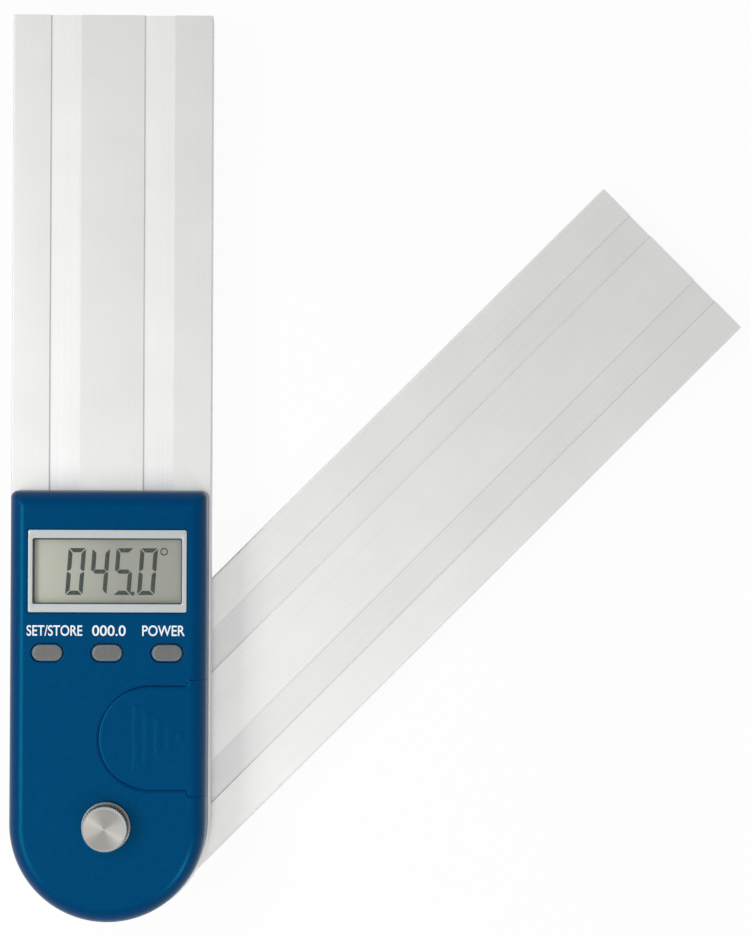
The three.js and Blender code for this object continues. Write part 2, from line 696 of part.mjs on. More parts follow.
function controllerBlob() {
  const radius = 4.5;
  const rise = 1.2;
  const x = -HOUSING_HALF / 4;
  const profile = [[0, BOARD_TOP], [radius, BOARD_TOP]];
  for (let i = 1; i < CORNER_STEPS; i++) {
    const angle = Math.PI / 2 * i / CORNER_STEPS;
    profile.push([radius * Math.cos(angle), BOARD_TOP + rise * Math.sin(angle)]);
  }
  profile.push([0, BOARD_TOP + rise]);
  return turned(profile, SMALL_ROUND).translate([x, DISPLAY_Y + FRAME_LENGTH / 8, 0]);
}

// The buttons. Each oval key is held under the lid by its flange and presses the plunger of a
// small switch on the board.

const SWITCH_HEIGHT = 1.6;
const SWITCH_BASE = 0.2;
const SWITCH_CASE_TOP = BOARD_TOP + SWITCH_HEIGHT;
const SWITCH_FLOOR = BOARD_TOP + SWITCH_BASE;
const PLUNGER_BOTTOM = SWITCH_FLOOR + BUTTON_TRAVEL + RUNNING_GAP / 2;
const PLUNGER_TOP = SWITCH_CASE_TOP + BUTTON_TRAVEL + RUNNING_GAP;
const PLUNGER_RADIUS = 1.1;

function button(x) {
  const proud = 0.4;
  const bevel = 0.3;
  const flangeWidth = 0.7;
  const flangeThickness = 0.7;
  const stemRadius = 1.6;
  const flangeTop = LID_UNDERSIDE - FIT_GAP;
  const rim = LID_TOP + proud;
  const outline = (inset) => {
    return oval(BUTTON_WIDTH - 2 * inset, BUTTON_LENGTH - 2 * inset, x, BUTTON_Y).getPoints();
  };
  const cap = loft([
    { points: outline(0), height: flangeTop - flangeThickness / 2 },
    { points: outline(0), height: rim - bevel },
    { points: outline(bevel / 3), height: rim - bevel / 3 },
    { points: outline(bevel), height: rim },
  ]);
  const flange = prism(oval(BUTTON_WIDTH + 2 * flangeWidth, BUTTON_LENGTH + 2 * flangeWidth, x, BUTTON_Y),
    flangeTop - flangeThickness, flangeTop);
  const stem = disc(stemRadius, PLUNGER_TOP, flangeTop - flangeThickness / 2, x, BUTTON_Y, SMALL_ROUND);
  return cap.add(flange).add(stem);
}

function switchPlunger(x) {
  return disc(PLUNGER_RADIUS, PLUNGER_BOTTOM, PLUNGER_TOP, x, BUTTON_Y, SMALL_ROUND);
}

function switchCase(x) {
  const half = 2.3;
  const corner = 0.4;
  const well = PLUNGER_RADIUS + RUNNING_GAP;
  return prism(roundedRectangle(2 * half, 2 * half, corner, x, BUTTON_Y), BOARD_TOP, SWITCH_CASE_TOP)
    .subtract(disc(well, SWITCH_FLOOR, SWITCH_CASE_TOP + OVERRUN, x, BUTTON_Y, SMALL_ROUND));
}

// The coin cell. It lies negative side down in a moulded cup on the board, over a sprung leaf,
// with a side contact at its rim.

const SIDE_CONTACT_WIDTH = 4;
const CONTACT_SHEET = 0.25;

function batteryHolder() {
  const inner = CELL_RADIUS + HOLDER_CLEARANCE;
  const rimTop = CELL_TOP;
  const leafWidth = 4;
  const leafLength = 13;
  const notch = SIDE_CONTACT_WIDTH / 2 + FIT_GAP;
  const cup = disc(HOLDER_RADIUS, BOARD_TOP, rimTop, CELL_X, CELL_Y)
    .subtract(disc(inner, CELL_BOTTOM, rimTop + OVERRUN, CELL_X, CELL_Y));
  const slot = block(CELL_X - leafLength / 2, CELL_X + leafLength / 2,
    CELL_Y - leafWidth / 2, CELL_Y + leafWidth / 2, BOARD_TOP - OVERRUN, CELL_BOTTOM + OVERRUN);
  const gate = block(CELL_X - HOLDER_RADIUS - OVERRUN, CELL_X - CELL_RADIUS + HOLDER_WALL,
    CELL_Y - notch, CELL_Y + notch, BOARD_TOP - OVERRUN, rimTop + OVERRUN);
  return cup.subtract(slot).subtract(gate);
}

function coinCell() {
  const capInset = 1.1;
  const capRadius = CELL_RADIUS - capInset;
  const capHeight = 0.35;
  const edge = 0.3;
  return turned([
    [0, CELL_BOTTOM],
    [capRadius, CELL_BOTTOM],
    [capRadius, CELL_BOTTOM + capHeight],
    [CELL_RADIUS - edge, CELL_BOTTOM + capHeight],
    [CELL_RADIUS, CELL_BOTTOM + capHeight + edge],
    [CELL_RADIUS, CELL_TOP - edge],
    [CELL_RADIUS - edge, CELL_TOP],
    [0, CELL_TOP],
  ]).translate([CELL_X, CELL_Y, 0]);
}

// A bent strip of sheet metal: a shape seen from the side, as wide as given, along Y.
function strip(points, width, y) {
  const shape = new THREE.Shape(points.map(([x, z]) => new THREE.Vector2(x, z)));
  const bent = new THREE.ExtrudeGeometry(shape, { depth: width, bevelEnabled: false });
  bent.rotateX(Math.PI / 2);
  bent.translate(0, y + width / 2, 0);
  return solid(bent);
}

function negativeContact() {
  const width = 3;
  const foot = 6;
  const knee = 3.6;
  const crown = 1.6;
  const low = BOARD_TOP;
  const high = CELL_BOTTOM - RUNNING_GAP;
  return strip([
    [CELL_X - foot, low],
    [CELL_X - knee, low],
    [CELL_X - crown, high - CONTACT_SHEET],
    [CELL_X + crown, high - CONTACT_SHEET],
    [CELL_X + knee, low],
    [CELL_X + foot, low],
    [CELL_X + foot, low + CONTACT_SHEET],
    [CELL_X + knee - CONTACT_SHEET / 2, low + CONTACT_SHEET],
    [CELL_X + crown - CONTACT_SHEET / 2, high],
    [CELL_X - crown + CONTACT_SHEET / 2, high],
    [CELL_X - knee + CONTACT_SHEET / 2, low + CONTACT_SHEET],
    [CELL_X - foot, low + CONTACT_SHEET],
  ], width, CELL_Y);
}

function positiveContact() {
  const foot = 2.6;
  const face = CELL_X - CELL_RADIUS - RUNNING_GAP;
  const high = CELL_TOP - CELL_THICKNESS / 4;
  return strip([
    [face - foot, BOARD_TOP],
    [face, BOARD_TOP],
    [face, high],
    [face - CONTACT_SHEET, high],
    [face - CONTACT_SHEET, BOARD_TOP + CONTACT_SHEET],
    [face - foot, BOARD_TOP + CONTACT_SHEET],
  ], SIDE_CONTACT_WIDTH, CELL_Y);
}

// The lock knob. A knurled metal knob runs on the shaft's thread and pulls the arms together. A
// captive washer under it bears on the lid and rises and falls with the knob.

const NECK_WALL = 1;
const NECK_LIP = 0.35;
const LIP_HEIGHT = 0.3;
const NECK_RADIUS = THREAD_RADIUS + RUNNING_GAP + NECK_WALL;
const WASHER_BOTTOM = LID_TOP + KNOB_REST_GAP;
const KNOB_BOTTOM = WASHER_BOTTOM + KNOB_WASHER_THICKNESS + RUNNING_GAP / 2;

function knobWasher() {
  const hole = NECK_RADIUS + RUNNING_GAP;
  const recess = NECK_RADIUS + NECK_LIP + RUNNING_GAP;
  const depth = LIP_HEIGHT + RUNNING_GAP;
  const edge = 0.15;
  const top = WASHER_BOTTOM + KNOB_WASHER_THICKNESS;
  return turned([
    [recess, WASHER_BOTTOM],
    [KNOB_WASHER_RADIUS - edge, WASHER_BOTTOM],
    [KNOB_WASHER_RADIUS, WASHER_BOTTOM + edge],
    [KNOB_WASHER_RADIUS, top - edge],
    [KNOB_WASHER_RADIUS - edge, top],
    [hole, top],
    [hole, WASHER_BOTTOM + depth],
    [recess, WASHER_BOTTOM + depth],
    [recess, WASHER_BOTTOM],
  ]);
}

function lockKnob() {
  const toothDepth = 0.22;
  const chamfer = 0.35;
  const plainBand = 0.5;
  const bore = THREAD_RADIUS + RUNNING_GAP;
  const boreTop = SHAFT_TOP + 2 * KNOB_REST_GAP;
  const top = KNOB_BOTTOM + KNOB_HEIGHT;
  const root = KNOB_RADIUS - toothDepth;
  const body = turned([
    [bore, WASHER_BOTTOM],
    [NECK_RADIUS + NECK_LIP, WASHER_BOTTOM],
    [NECK_RADIUS + NECK_LIP, WASHER_BOTTOM + LIP_HEIGHT],
    [NECK_RADIUS, WASHER_BOTTOM + LIP_HEIGHT],
    [NECK_RADIUS, KNOB_BOTTOM],
    [root - chamfer, KNOB_BOTTOM],
    [root, KNOB_BOTTOM + chamfer],
    [root, top - plainBand],
    [KNOB_RADIUS, top - plainBand],
    [KNOB_RADIUS, top - chamfer],
    [KNOB_RADIUS - chamfer, top],
    [0, top],
    [0, boreTop],
    [bore, boreTop],
    [bore, WASHER_BOTTOM],
  ]);
  const rim = [];
  for (let i = 0; i < ROUND; i++) {
    const step = 2 * Math.PI / ROUND;
    for (const [share, radius] of [[0, root], [0.5, KNOB_RADIUS]]) {
      const angle = (i + share) * step;
      rim.push(new THREE.Vector2(radius * Math.cos(angle), radius * Math.sin(angle)));
    }
  }
  const knurl = prism(new THREE.Shape(rim), KNOB_BOTTOM + chamfer, top - plainBand / 2)
    .subtract(disc(root - chamfer, KNOB_BOTTOM, top + OVERRUN));
  return body.add(knurl);
}

// The assembly
const angleFinder = new THREE.Group();

const movingArm = new THREE.Group();
movingArm.rotation.z = -THREE.MathUtils.degToRad(ARM_ANGLE_DEGREES);
movingArm.add(
  piece('lower_arm', lowerArm(), ALUMINIUM, 0.35, 1),
  piece('pivot_shaft', pivotShaft(), STEEL, 0.3, 1),
  piece('friction_washer', frictionWasher(), NYLON, 0.6),
  piece('encoder_rotor', encoderRotor(), GLASS_FIBRE, 0.5),
  piece('rotor_collar', rotorCollar(), BRASS, 0.35, 1),
);
angleFinder.add(movingArm);

angleFinder.add(
  piece('upper_arm', upperArm(), ALUMINIUM, 0.35, 1),
  piece('pivot_bush', pivotBush(), BRASS, 0.35, 1),
  piece('housing_shell', housingShell(), BLUE, 0.5),
  piece('base_plate', basePlate(), BLACK, 0.6),
  piece('main_board', mainBoard(), BOARD_GREEN, 0.5),
  piece('controller_blob', controllerBlob(), BLACK, 0.4),
  piece('display_frame', displayFrame(), SILVER, 0.4),
  piece('display_lens', displayLens(), CLEAR, 0.1),
  piece('lcd_panel', lcdPanel(), LCD_GREY, 0.3),
  piece('contact_strip', contactStrip(), BLACK, 0.7),
  piece('battery_holder', batteryHolder(), BLACK, 0.6),
  piece('coin_cell', coinCell(), STEEL, 0.25, 1),
  piece('negative_contact', negativeContact(), STEEL, 0.35, 1),
  piece('positive_contact', positiveContact(), STEEL, 0.35, 1),
  piece('battery_cover', batteryCover(), BLUE, 0.5),
  piece('knob_washer', knobWasher(), STEEL, 0.3, 1),
  piece('lock_knob', lockKnob(), STEEL, 0.25, 1),
);

['hold', 'zero', 'power'].forEach((word, index) => {
  const x = (index - 1) * BUTTON_PITCH;
  angleFinder.add(
    piece(`button_${word}`, button(x), BUTTON_GREY, 0.55),
    piece(`plunger_${word}`, switchPlunger(x), BLACK, 0.5),
    piece(`switch_${word}`, switchCase(x), STEEL, 0.35, 1),
  );
});

screwPlaces().forEach(([x, y], index) => {
  angleFinder.add(piece(`case_screw_${index + 1}`, caseScrew(x, y), STEEL, 0.35, 1));
});

postPlaces().forEach(([x, y], index) => {
  angleFinder.add(piece(`board_screw_${index + 1}`, boardScrew(x, y), STEEL, 0.35, 1));
});

export default angleFinder;
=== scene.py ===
"""Digital angle finder: two aluminium arms on one pivot, with a moulded electronic housing.

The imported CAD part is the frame. After the camera and the studio, each section makes one piece
or one group of like pieces, in the order in which the tool is put together.
"""
import math

import bmesh
import bpy
from mathutils import Matrix, Vector


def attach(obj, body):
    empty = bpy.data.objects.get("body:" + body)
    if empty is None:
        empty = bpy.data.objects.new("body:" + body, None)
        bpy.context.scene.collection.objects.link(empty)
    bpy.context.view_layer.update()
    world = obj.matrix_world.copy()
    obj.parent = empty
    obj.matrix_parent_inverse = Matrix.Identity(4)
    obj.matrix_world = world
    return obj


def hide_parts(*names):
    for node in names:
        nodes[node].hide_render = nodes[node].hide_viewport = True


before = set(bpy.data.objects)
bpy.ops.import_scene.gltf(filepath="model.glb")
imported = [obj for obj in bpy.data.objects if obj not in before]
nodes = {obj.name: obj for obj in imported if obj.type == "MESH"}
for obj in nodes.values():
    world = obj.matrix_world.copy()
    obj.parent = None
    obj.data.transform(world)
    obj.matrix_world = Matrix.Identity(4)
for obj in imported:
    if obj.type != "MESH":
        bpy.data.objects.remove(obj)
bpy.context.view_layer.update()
MM = 0.001

# Camera: looks straight down on the tool from half a metre, a little off to its right.
# The picture is the middle part of a wider one, so the lens is shifted by a few hundredths.
PICTURE_LONG_SIDE = 936
FOCAL_LENGTH_PIXELS = 1900
FRAME_RIGHT_OF_AXIS_PIXELS = 65.5
FRAME_ABOVE_AXIS_PIXELS = 32
CAMERA_PLACE = (42.855, 73.734, 492.464)
CAMERA_TILT_DEGREES = (0.7555, -0.8259, 0.198)

lens = bpy.data.cameras.new("camera")
lens.sensor_width = 36
lens.lens = lens.sensor_width * FOCAL_LENGTH_PIXELS / PICTURE_LONG_SIDE
lens.shift_x = FRAME_RIGHT_OF_AXIS_PIXELS / PICTURE_LONG_SIDE
lens.shift_y = FRAME_ABOVE_AXIS_PIXELS / PICTURE_LONG_SIDE
camera = bpy.data.objects.new("camera", lens)
camera.location = Vector(CAMERA_PLACE) * MM
camera.rotation_euler = [math.radians(angle) for angle in CAMERA_TILT_DEGREES]
bpy.context.scene.collection.objects.link(camera)
bpy.context.scene.camera = camera
bpy.context.scene.view_settings.view_transform = "Standard"


# Studio: a white paper sweep under a white sky, with a long soft strip at the left, a small weak
# panel at the lower right and a wide weak one overhead. Sweep and sky show plain white to the
# camera and in metal and glass, and the sweep keeps the tool's soft shadow.
SKY_LIGHT_AT_HORIZON = 0.14
SKY_LIGHT_OVERHEAD = 0.54
SWEEP_SIZE = 6.0
SWEEP_DROP = 0.1
SWEEP_SHARE_SHOWN_WHITE = 0.94
PANELS = (
    ("key_strip", (-280, 60, 440), (560, 170), 1.55),
    ("fill_panel", (250, -255, 440), (100, 100), 0.5),
    ("overhead_panel", (60, -160, 900), (480, 480), 0.5),
)
PANELS_AIM_AT = (40, 60, 15)


def linear(colour):
    """The linear value of an sRGB hex colour"""
    parts = [int(colour[i:i + 2], 16) / 255 for i in (1, 3, 5)]
    return [p / 12.92 if p <= 0.04045 else ((p + 0.055) / 1.055) ** 2.4 for p in parts] + [1]


def add(tree, kind, feeds=None, **settings):
    """Adds one node with its settings; each feed is a socket's value or what is linked to it"""
    node = tree.nodes.new(kind)
    for name, value in settings.items():
        setattr(node, name, value)
    for name, value in (feeds or {}).items():
        if isinstance(value, bpy.types.NodeSocket):
            tree.links.new(value, node.inputs[name])
        else:
            node.inputs[name].default_value = value
    return node


def seen_directly(tree):
    """1 where the camera, a mirror or glass looks, and 0 where light is gathered"""
    rays = add(tree, "ShaderNodeLightPath").outputs
    camera_or_mirror = add(tree, "ShaderNodeMath", {0: rays["Is Camera Ray"], 1: rays["Is Glossy Ray"]},
                           operation="MAXIMUM")
    return add(tree, "ShaderNodeMath", {0: camera_or_mirror.outputs[0], 1: rays["Is Transmission Ray"]},
               operation="MAXIMUM").outputs[0]


sky = bpy.data.worlds.new("studio_sky")
sky.use_nodes = True
bpy.context.scene.world = sky
tree = sky.node_tree
direction = add(tree, "ShaderNodeTexCoord").outputs["Generated"]
height = add(tree, "ShaderNodeSeparateXYZ", {0: direction}).outputs["Z"]
light = add(tree, "ShaderNodeMapRange", {
    "Value": height, "To Min": SKY_LIGHT_AT_HORIZON, "To Max": SKY_LIGHT_OVERHEAD})
gathered = add(tree, "ShaderNodeBackground", {"Color": linear("#FFFFFF"), "Strength": light.outputs[0]})
shown = add(tree, "ShaderNodeBackground", {"Color": linear("#FFFFFF"), "Strength": 1.0})
mixed = add(tree, "ShaderNodeMixShader", {
    0: seen_directly(tree), 1: gathered.outputs[0], 2: shown.outputs[0]})
tree.links.new(mixed.outputs[0], tree.nodes["World Output"].inputs["Surface"])

paper = bpy.data.materials.new("white_paper_sweep")
paper.use_nodes = True
tree = paper.node_tree
seen = seen_directly(tree)
tone = add(tree, "ShaderNodeMix", {0: seen, 6: linear("#8A8A88"), 7: linear("#F4F4F2")}, data_type="RGBA")
matt = add(tree, "ShaderNodeBsdfDiffuse", {"Color": tone.outputs[2]})
bright = add(tree, "ShaderNodeEmission", {"Color": linear("#FFFFFF"), "Strength": 1.0})
share = add(tree, "ShaderNodeMath", {0: seen, 1: SWEEP_SHARE_SHOWN_WHITE}, operation="MULTIPLY")
mixed = add(tree, "ShaderNodeMixShader", {0: share.outputs[0], 1: matt.outputs[0], 2: bright.outputs[0]})
tree.links.new(mixed.outputs[0], tree.nodes["Material Output"].inputs["Surface"])

shape = bmesh.new()
bmesh.ops.create_grid(shape, x_segments=1, y_segments=1, size=SWEEP_SIZE / 2)
bmesh.ops.translate(shape, verts=shape.verts, vec=(0, 0, -SWEEP_DROP * MM))
mesh = bpy.data.meshes.new("sweep")
shape.to_mesh(mesh)
shape.free()
mesh.materials.append(paper)
sweep = bpy.data.objects.new("sweep", mesh)
bpy.context.scene.collection.objects.link(sweep)

for name, place, size, power in PANELS:
    panel = bpy.data.lights.new(name, "AREA")
    panel.shape = "RECTANGLE"
    panel.size, panel.size_y = size[0] * MM, size[1] * MM
    panel.energy = power
    lamp = bpy.data.objects.new(name, panel)
    lamp.location = Vector(place) * MM
    lamp.rotation_euler = (Vector(PANELS_AIM_AT) - Vector(place)).to_track_quat("-Z", "Y").to_euler()
    bpy.context.scene.collection.objects.link(lamp)


# The two arms: the same hollow aluminium extrusion, brushed along its length, clear anodised and
# milled round at the pivot. The lands shine softly along fine lines, and the groove floors that the
# brush misses are matt; the same metal's floors are painted paler on the upper arm and darker on the
# lower arm, which is painted light and shade. The long corners are dulled by tumbling and show no
# glint, and are painted paler than the lands, which is painted light.
GROOVE_FLOOR_BELOW_TOP = 0.5
LEVEL_WITHIN = 0.01
FLOOR_NORMAL = 0.9
PAINTED_LIGHT_CORNER_NORMALS = (0.1, 0.995)
WELD = 0.001
FLAT_WITHIN_DEGREES = 0.2
CREASE_DEGREES = 30
BROKEN_EDGE = 0.1
BROKEN_EDGE_STEPS = 2
ANODISED_METALLIC = 0.6
BRUSH_LINE_WIDTH = 0.45
BRUSH_LINE_LENGTH = 60
GRAIN_SIZE = 0.5
GRAIN_RELIEF = 0.003
GRAIN_RELIEF_STRENGTH = 0.3
GRAIN_GLOSS_CHANGE = 0.03
CLOUD_SIZE = 14
CLOUD_SHARE = 0.6
CLOUD_NOISE = (0.25, 0.75)
GRAIN_NOISE = (0.3, 0.7)
LAND_FINISH = ("#D0D0CE", "#D7D7D5", 0.34)
# The corners' duller gloss is their finish; their paler colour is painted light on the rounded edges.
CORNER_FINISH_PAINTED_LIGHT = ("#D9D9D8", "#E0E0DF", 0.62)
# The last entry is each arm's groove floor finish: its colour is painted light on the upper arm and painted
# shade on the lower one.
ARMS = (("upper_arm_bar", "upper_arm", "fixed_arm", 17, 0, ("#D2D2D1", "#D9D9D8", 0.52)),
        ("lower_arm_bar", "lower_arm", "moving_arm", 8, -45, ("#CCCCCB", "#D3D3D2", 0.42)))


def new_finish(name, colour, roughness, metallic=0.0, **sockets):
    """Starts a finish with its even values set on the shader, and gives its parts"""
    finish = bpy.data.materials.new(name)
    finish.use_nodes = True
    shader = finish.node_tree.nodes["Principled BSDF"]
    shader.inputs["Base Color"].default_value = linear(colour)
    shader.inputs["Roughness"].default_value = roughness
    shader.inputs["Metallic"].default_value = metallic
    for socket, value in sockets.items():
        shader.inputs[socket.replace("_", " ")].default_value = value
    place = add(finish.node_tree, "ShaderNodeTexCoord").outputs["Object"]
    return finish, finish.node_tree, shader, place


def brushed_aluminium(name, dark, light, roughness, turn):
    """Satin anodised aluminium: long thin brush lines, a fine etched grain and wide faint clouds"""
    # Real brush lines and etching are finer than a pixel, so both are drawn half a millimetre wide.
    finish, tree, shader, place = new_finish(name, light, roughness, ANODISED_METALLIC)
    line_size = Vector((BRUSH_LINE_WIDTH, BRUSH_LINE_LENGTH, BRUSH_LINE_WIDTH)) * MM
    lines = add(tree, "ShaderNodeMapping", {
        "Vector": place, "Rotation": (0, 0, math.radians(turn)), "Scale": line_size}, vector_type="TEXTURE")
    drawn = add(tree, "ShaderNodeTexNoise", {"Vector": lines.outputs[0], "Scale": 1.0, "Detail": 2.0})
    etched = add(tree, "ShaderNodeTexNoise", {
        "Vector": place, "Scale": 1 / (GRAIN_SIZE * MM), "Detail": 1.0})
    grain = add(tree, "ShaderNodeMix", {0: 0.5, 2: drawn.outputs[0], 3: etched.outputs[0]})
    clouds = add(tree, "ShaderNodeTexNoise", {
        "Vector": place, "Scale": 1 / (CLOUD_SIZE * MM), "Detail": 2.0})
    both = add(tree, "ShaderNodeMath", {0: clouds.outputs[0], 1: CLOUD_SHARE, 2: grain.outputs[0]},
               operation="MULTIPLY_ADD")
    darkest, lightest = [level + CLOUD_SHARE / 2 for level in CLOUD_NOISE]
    share = add(tree, "ShaderNodeMapRange", {
        "Value": both.outputs[0], "From Min": darkest, "From Max": lightest})
    tint = add(tree, "ShaderNodeMix", {0: share.outputs[0], 6: linear(dark), 7: linear(light)},
               data_type="RGBA")
    gloss = add(tree, "ShaderNodeMapRange", {
        "Value": grain.outputs[0], "From Min": GRAIN_NOISE[0], "From Max": GRAIN_NOISE[1],
        "To Min": roughness + GRAIN_GLOSS_CHANGE, "To Max": roughness - GRAIN_GLOSS_CHANGE})
    relief = add(tree, "ShaderNodeBump", {
        "Height": grain.outputs[0], "Strength": GRAIN_RELIEF_STRENGTH, "Distance": GRAIN_RELIEF * MM})
    tree.links.new(tint.outputs[2], shader.inputs["Base Color"])
    tree.links.new(gloss.outputs[0], shader.inputs["Roughness"])
    tree.links.new(relief.outputs[0], shader.inputs["Normal"])
    return finish


def merged_copy(node):
    """A copy of a CAD node's mesh, with its loose triangles merged into whole faces"""
    shape = bmesh.new()
    shape.from_mesh(nodes[node].data)
    bmesh.ops.remove_doubles(shape, verts=shape.verts, dist=WELD * MM)
    bmesh.ops.dissolve_limit(shape, angle_limit=math.radians(FLAT_WITHIN_DEGREES),
                             verts=shape.verts, edges=shape.edges)
    return shape


def finished(name, shape, *finishes, edge=0.0):
    """Makes a piece: smooth where it curves, its corners broken by edge or else left sharp"""
    mesh = bpy.data.meshes.new(name)
    shape.to_mesh(mesh)
    shape.free()
    for finish in finishes:
        mesh.materials.append(finish)
    for face in mesh.polygons:
        face.use_smooth = True
    piece = bpy.data.objects.new(name, mesh)
    bpy.context.scene.collection.objects.link(piece)
    if edge:
        bevel = piece.modifiers.new("broken_edges", "BEVEL")
        bevel.width = edge * MM
        bevel.segments = BROKEN_EDGE_STEPS
        bevel.limit_method = "ANGLE"
        bevel.angle_limit = math.radians(CREASE_DEGREES)
    else:
        mesh.set_sharp_from_angle(angle=math.radians(CREASE_DEGREES))
    piece.modifiers.new("flat_faces", "WEIGHTED_NORMAL").keep_sharp = True
    return piece


for name, node, body, top, turn, floor_finish_painted_light_and_shade in ARMS:
    shape = merged_copy(node)
    floor = (top - GROOVE_FLOOR_BELOW_TOP) * MM
    for face in shape.faces:
        on_floor = abs(face.calc_center_median().z - floor) < LEVEL_WITHIN * MM
        if on_floor and face.normal.z > FLOOR_NORMAL:
            face.material_index = 1
        # Painted light: the rounded corner faces get the paler finish.
        elif PAINTED_LIGHT_CORNER_NORMALS[0] < face.normal.z < PAINTED_LIGHT_CORNER_NORMALS[1]:
            face.material_index = 2
    land = brushed_aluminium(name + "_brushed_lands", *LAND_FINISH, turn)
    groove = brushed_aluminium(name + "_groove_floors_painted_light_and_shade", *floor_finish_painted_light_and_shade, turn)
    corner = brushed_aluminium(name + "_tumbled_corners_painted_light", *CORNER_FINISH_PAINTED_LIGHT, turn)
    arm = finished(name, shape, land, groove, corner)
    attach(arm, body)
    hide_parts(node)


# The pivot: a turned steel shaft riveted into the lower arm, a flanged brass bush in the upper
# one, and a white nylon washer between the two, which gives the swing its drag.
TURNING_MARK_WIDTH = 0.3
TURNING_MARK_GLOSS = (0.08, 0.06)
FLECK_RELIEF_STRENGTH = 0.6
PATCH_TO_FLECK = 4
PATCH_SHARE = 0.35
PATCH_NOISE = (0.35, 0.65)


def turned_metal(name, dark, light, roughness, centre=(0, 0), metallic=1.0):
    """Metal turned on a lathe: fine rings round its own axis, which catch the light in turn"""
    # Real turning marks are finer than a pixel, so they are drawn a third of a millimetre wide.
    finish, tree, shader, place = new_finish(name, light, roughness, metallic)
    own = add(tree, "ShaderNodeVectorMath", {0: place, 1: (centre[0] * MM, centre[1] * MM, 0)},
              operation="SUBTRACT")
    flat = add(tree, "ShaderNodeVectorMath", {0: own.outputs[0], 1: (1, 1, 0)}, operation="MULTIPLY")
    radius = add(tree, "ShaderNodeVectorMath", {0: flat.outputs[0]}, operation="LENGTH")
    height = add(tree, "ShaderNodeSeparateXYZ", {0: own.outputs[0]})
    along = add(tree, "ShaderNodeMath", {0: radius.outputs["Value"], 1: height.outputs["Z"]},
                operation="ADD")
    rings = add(tree, "ShaderNodeTexNoise", {
        "W": along.outputs[0], "Scale": 1 / (TURNING_MARK_WIDTH * MM)}, noise_dimensions="1D")
    tint = add(tree, "ShaderNodeMix", {0: rings.outputs[0], 6: linear(dark), 7: linear(light)},
               data_type="RGBA")
    duller, brighter = TURNING_MARK_GLOSS
    gloss = add(tree, "ShaderNodeMapRange", {
        "Value": rings.outputs[0], "To Min": roughness + duller, "To Max": roughness - brighter})
    tree.links.new(tint.outputs[2], shader.inputs["Base Color"])
    tree.links.new(gloss.outputs[0], shader.inputs["Roughness"])
    return finish


def moulded_plastic(name, dark, light, roughness, fleck, relief, **sockets):
    """Plastic from a mould with a fine spark-eroded grain: small pits and slightly uneven colour"""
    # The real grain is a tenth of a millimetre and too fine to show, so fleck draws it coarser.
    finish, tree, shader, place = new_finish(name, light, roughness, **sockets)
    grain = add(tree, "ShaderNodeTexNoise", {"Vector": place, "Scale": 1 / (fleck * MM), "Detail": 2.0})
    patches = add(tree, "ShaderNodeTexNoise", {
        "Vector": place, "Scale": 1 / (PATCH_TO_FLECK * fleck * MM), "Detail": 3.0})
    both = add(tree, "ShaderNodeMath", {0: patches.outputs[0], 1: PATCH_SHARE, 2: grain.outputs[0]},
               operation="MULTIPLY_ADD")
    darkest, lightest = [level + PATCH_SHARE / 2 for level in PATCH_NOISE]
    share = add(tree, "ShaderNodeMapRange", {
        "Value": both.outputs[0], "From Min": darkest, "From Max": lightest})
    tint = add(tree, "ShaderNodeMix", {0: share.outputs[0], 6: linear(dark), 7: linear(light)},
               data_type="RGBA")
    bump = add(tree, "ShaderNodeBump", {
        "Height": grain.outputs[0], "Strength": FLECK_RELIEF_STRENGTH, "Distance": relief * MM})
    tree.links.new(tint.outputs[2], shader.inputs["Base Color"])
    tree.links.new(bump.outputs[0], shader.inputs["Normal"])
    return finish


turned_steel = turned_metal("turned_steel", "#8E9092", "#B4B6B8", 0.32)
cast_brass = turned_metal("bush_brass", "#A58A4C", "#C6AC68", 0.34)
nylon = moulded_plastic("white_nylon", "#D9D8D2", "#ECEBE6", 0.5, 0.5, 0.01)
for node, finish, slot, body in (
        ("pivot_shaft", turned_steel, "turned_steel", "moving_arm"),
        ("pivot_bush", cast_brass, "bush_brass", "fixed_arm"),
        ("friction_washer", nylon, "white_nylon", "moving_arm")):
    piece = finished(node + "_turned", merged_copy(node), finish, edge=BROKEN_EDGE)
    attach(piece, body)
    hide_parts(node)


# The housing: one blue ABS moulding with drafted sides, whose wide rim rolls over into the lid.
# The mould's spark-eroded grain leaves it matt and slightly mottled. Four screws in its bosses
# hold it down on the upper arm.
HOUSING_HALF_WIDTH = 24.5
HOUSING_TOP_EDGE = 82.3
HOUSING_CORNER = 2
SMALLEST_CORNER = 0.2
HOUSING_FOOT = 17
LID = 26.5
RIM_RADIUS = 4.2
RIM_STEPS = 12
DRAFT = 0.3
WALL = 2
CEILING = 24.5
CEILING_CHAMFER = 1
TOOL_OVERSHOOT = 1
ROUND_STEPS_PER_TURN = 128
CUT_WELD = 0.0005
BOSSES = ((-19.2, 77.0), (19.2, 77.0), (-17.4, -8.1), (17.4, -8.1))
BOSS_RADIUS = 2.6
PILOT_RADIUS = 1.45
HOLE_EDGE = 0.35
ROLL_DEGREES = (0, 22.5, 45, 67.5)
WINDOW = (36.7, 16.2, 0.5)
POCKET = (39.0, 20.4, 0.6)
POCKET_FLOOR = 24.9
DISPLAY_CENTRE = (0, 62.3)
KEY_PLACES = (-14.65, 0, 14.65)
KEY_ROW = 42.3
KEY_HOLE = (7.9, 4.5)
BORE_RADIUS = 3.2
COVER_CENTRE = (10.7, 21.4)
COVER_RADIUS = 12.6
COVER_STEP_AT = 19.1
COVER_STEP = 1.5
COVER_SEAM = 0.16
COVER_FIT = 0.1
SEAM_EDGE = 0.6
SEAM_DEPTH = 0.35
COVER_ROLL = (0.9, 0.2)
COVER_BOTTOM = 20


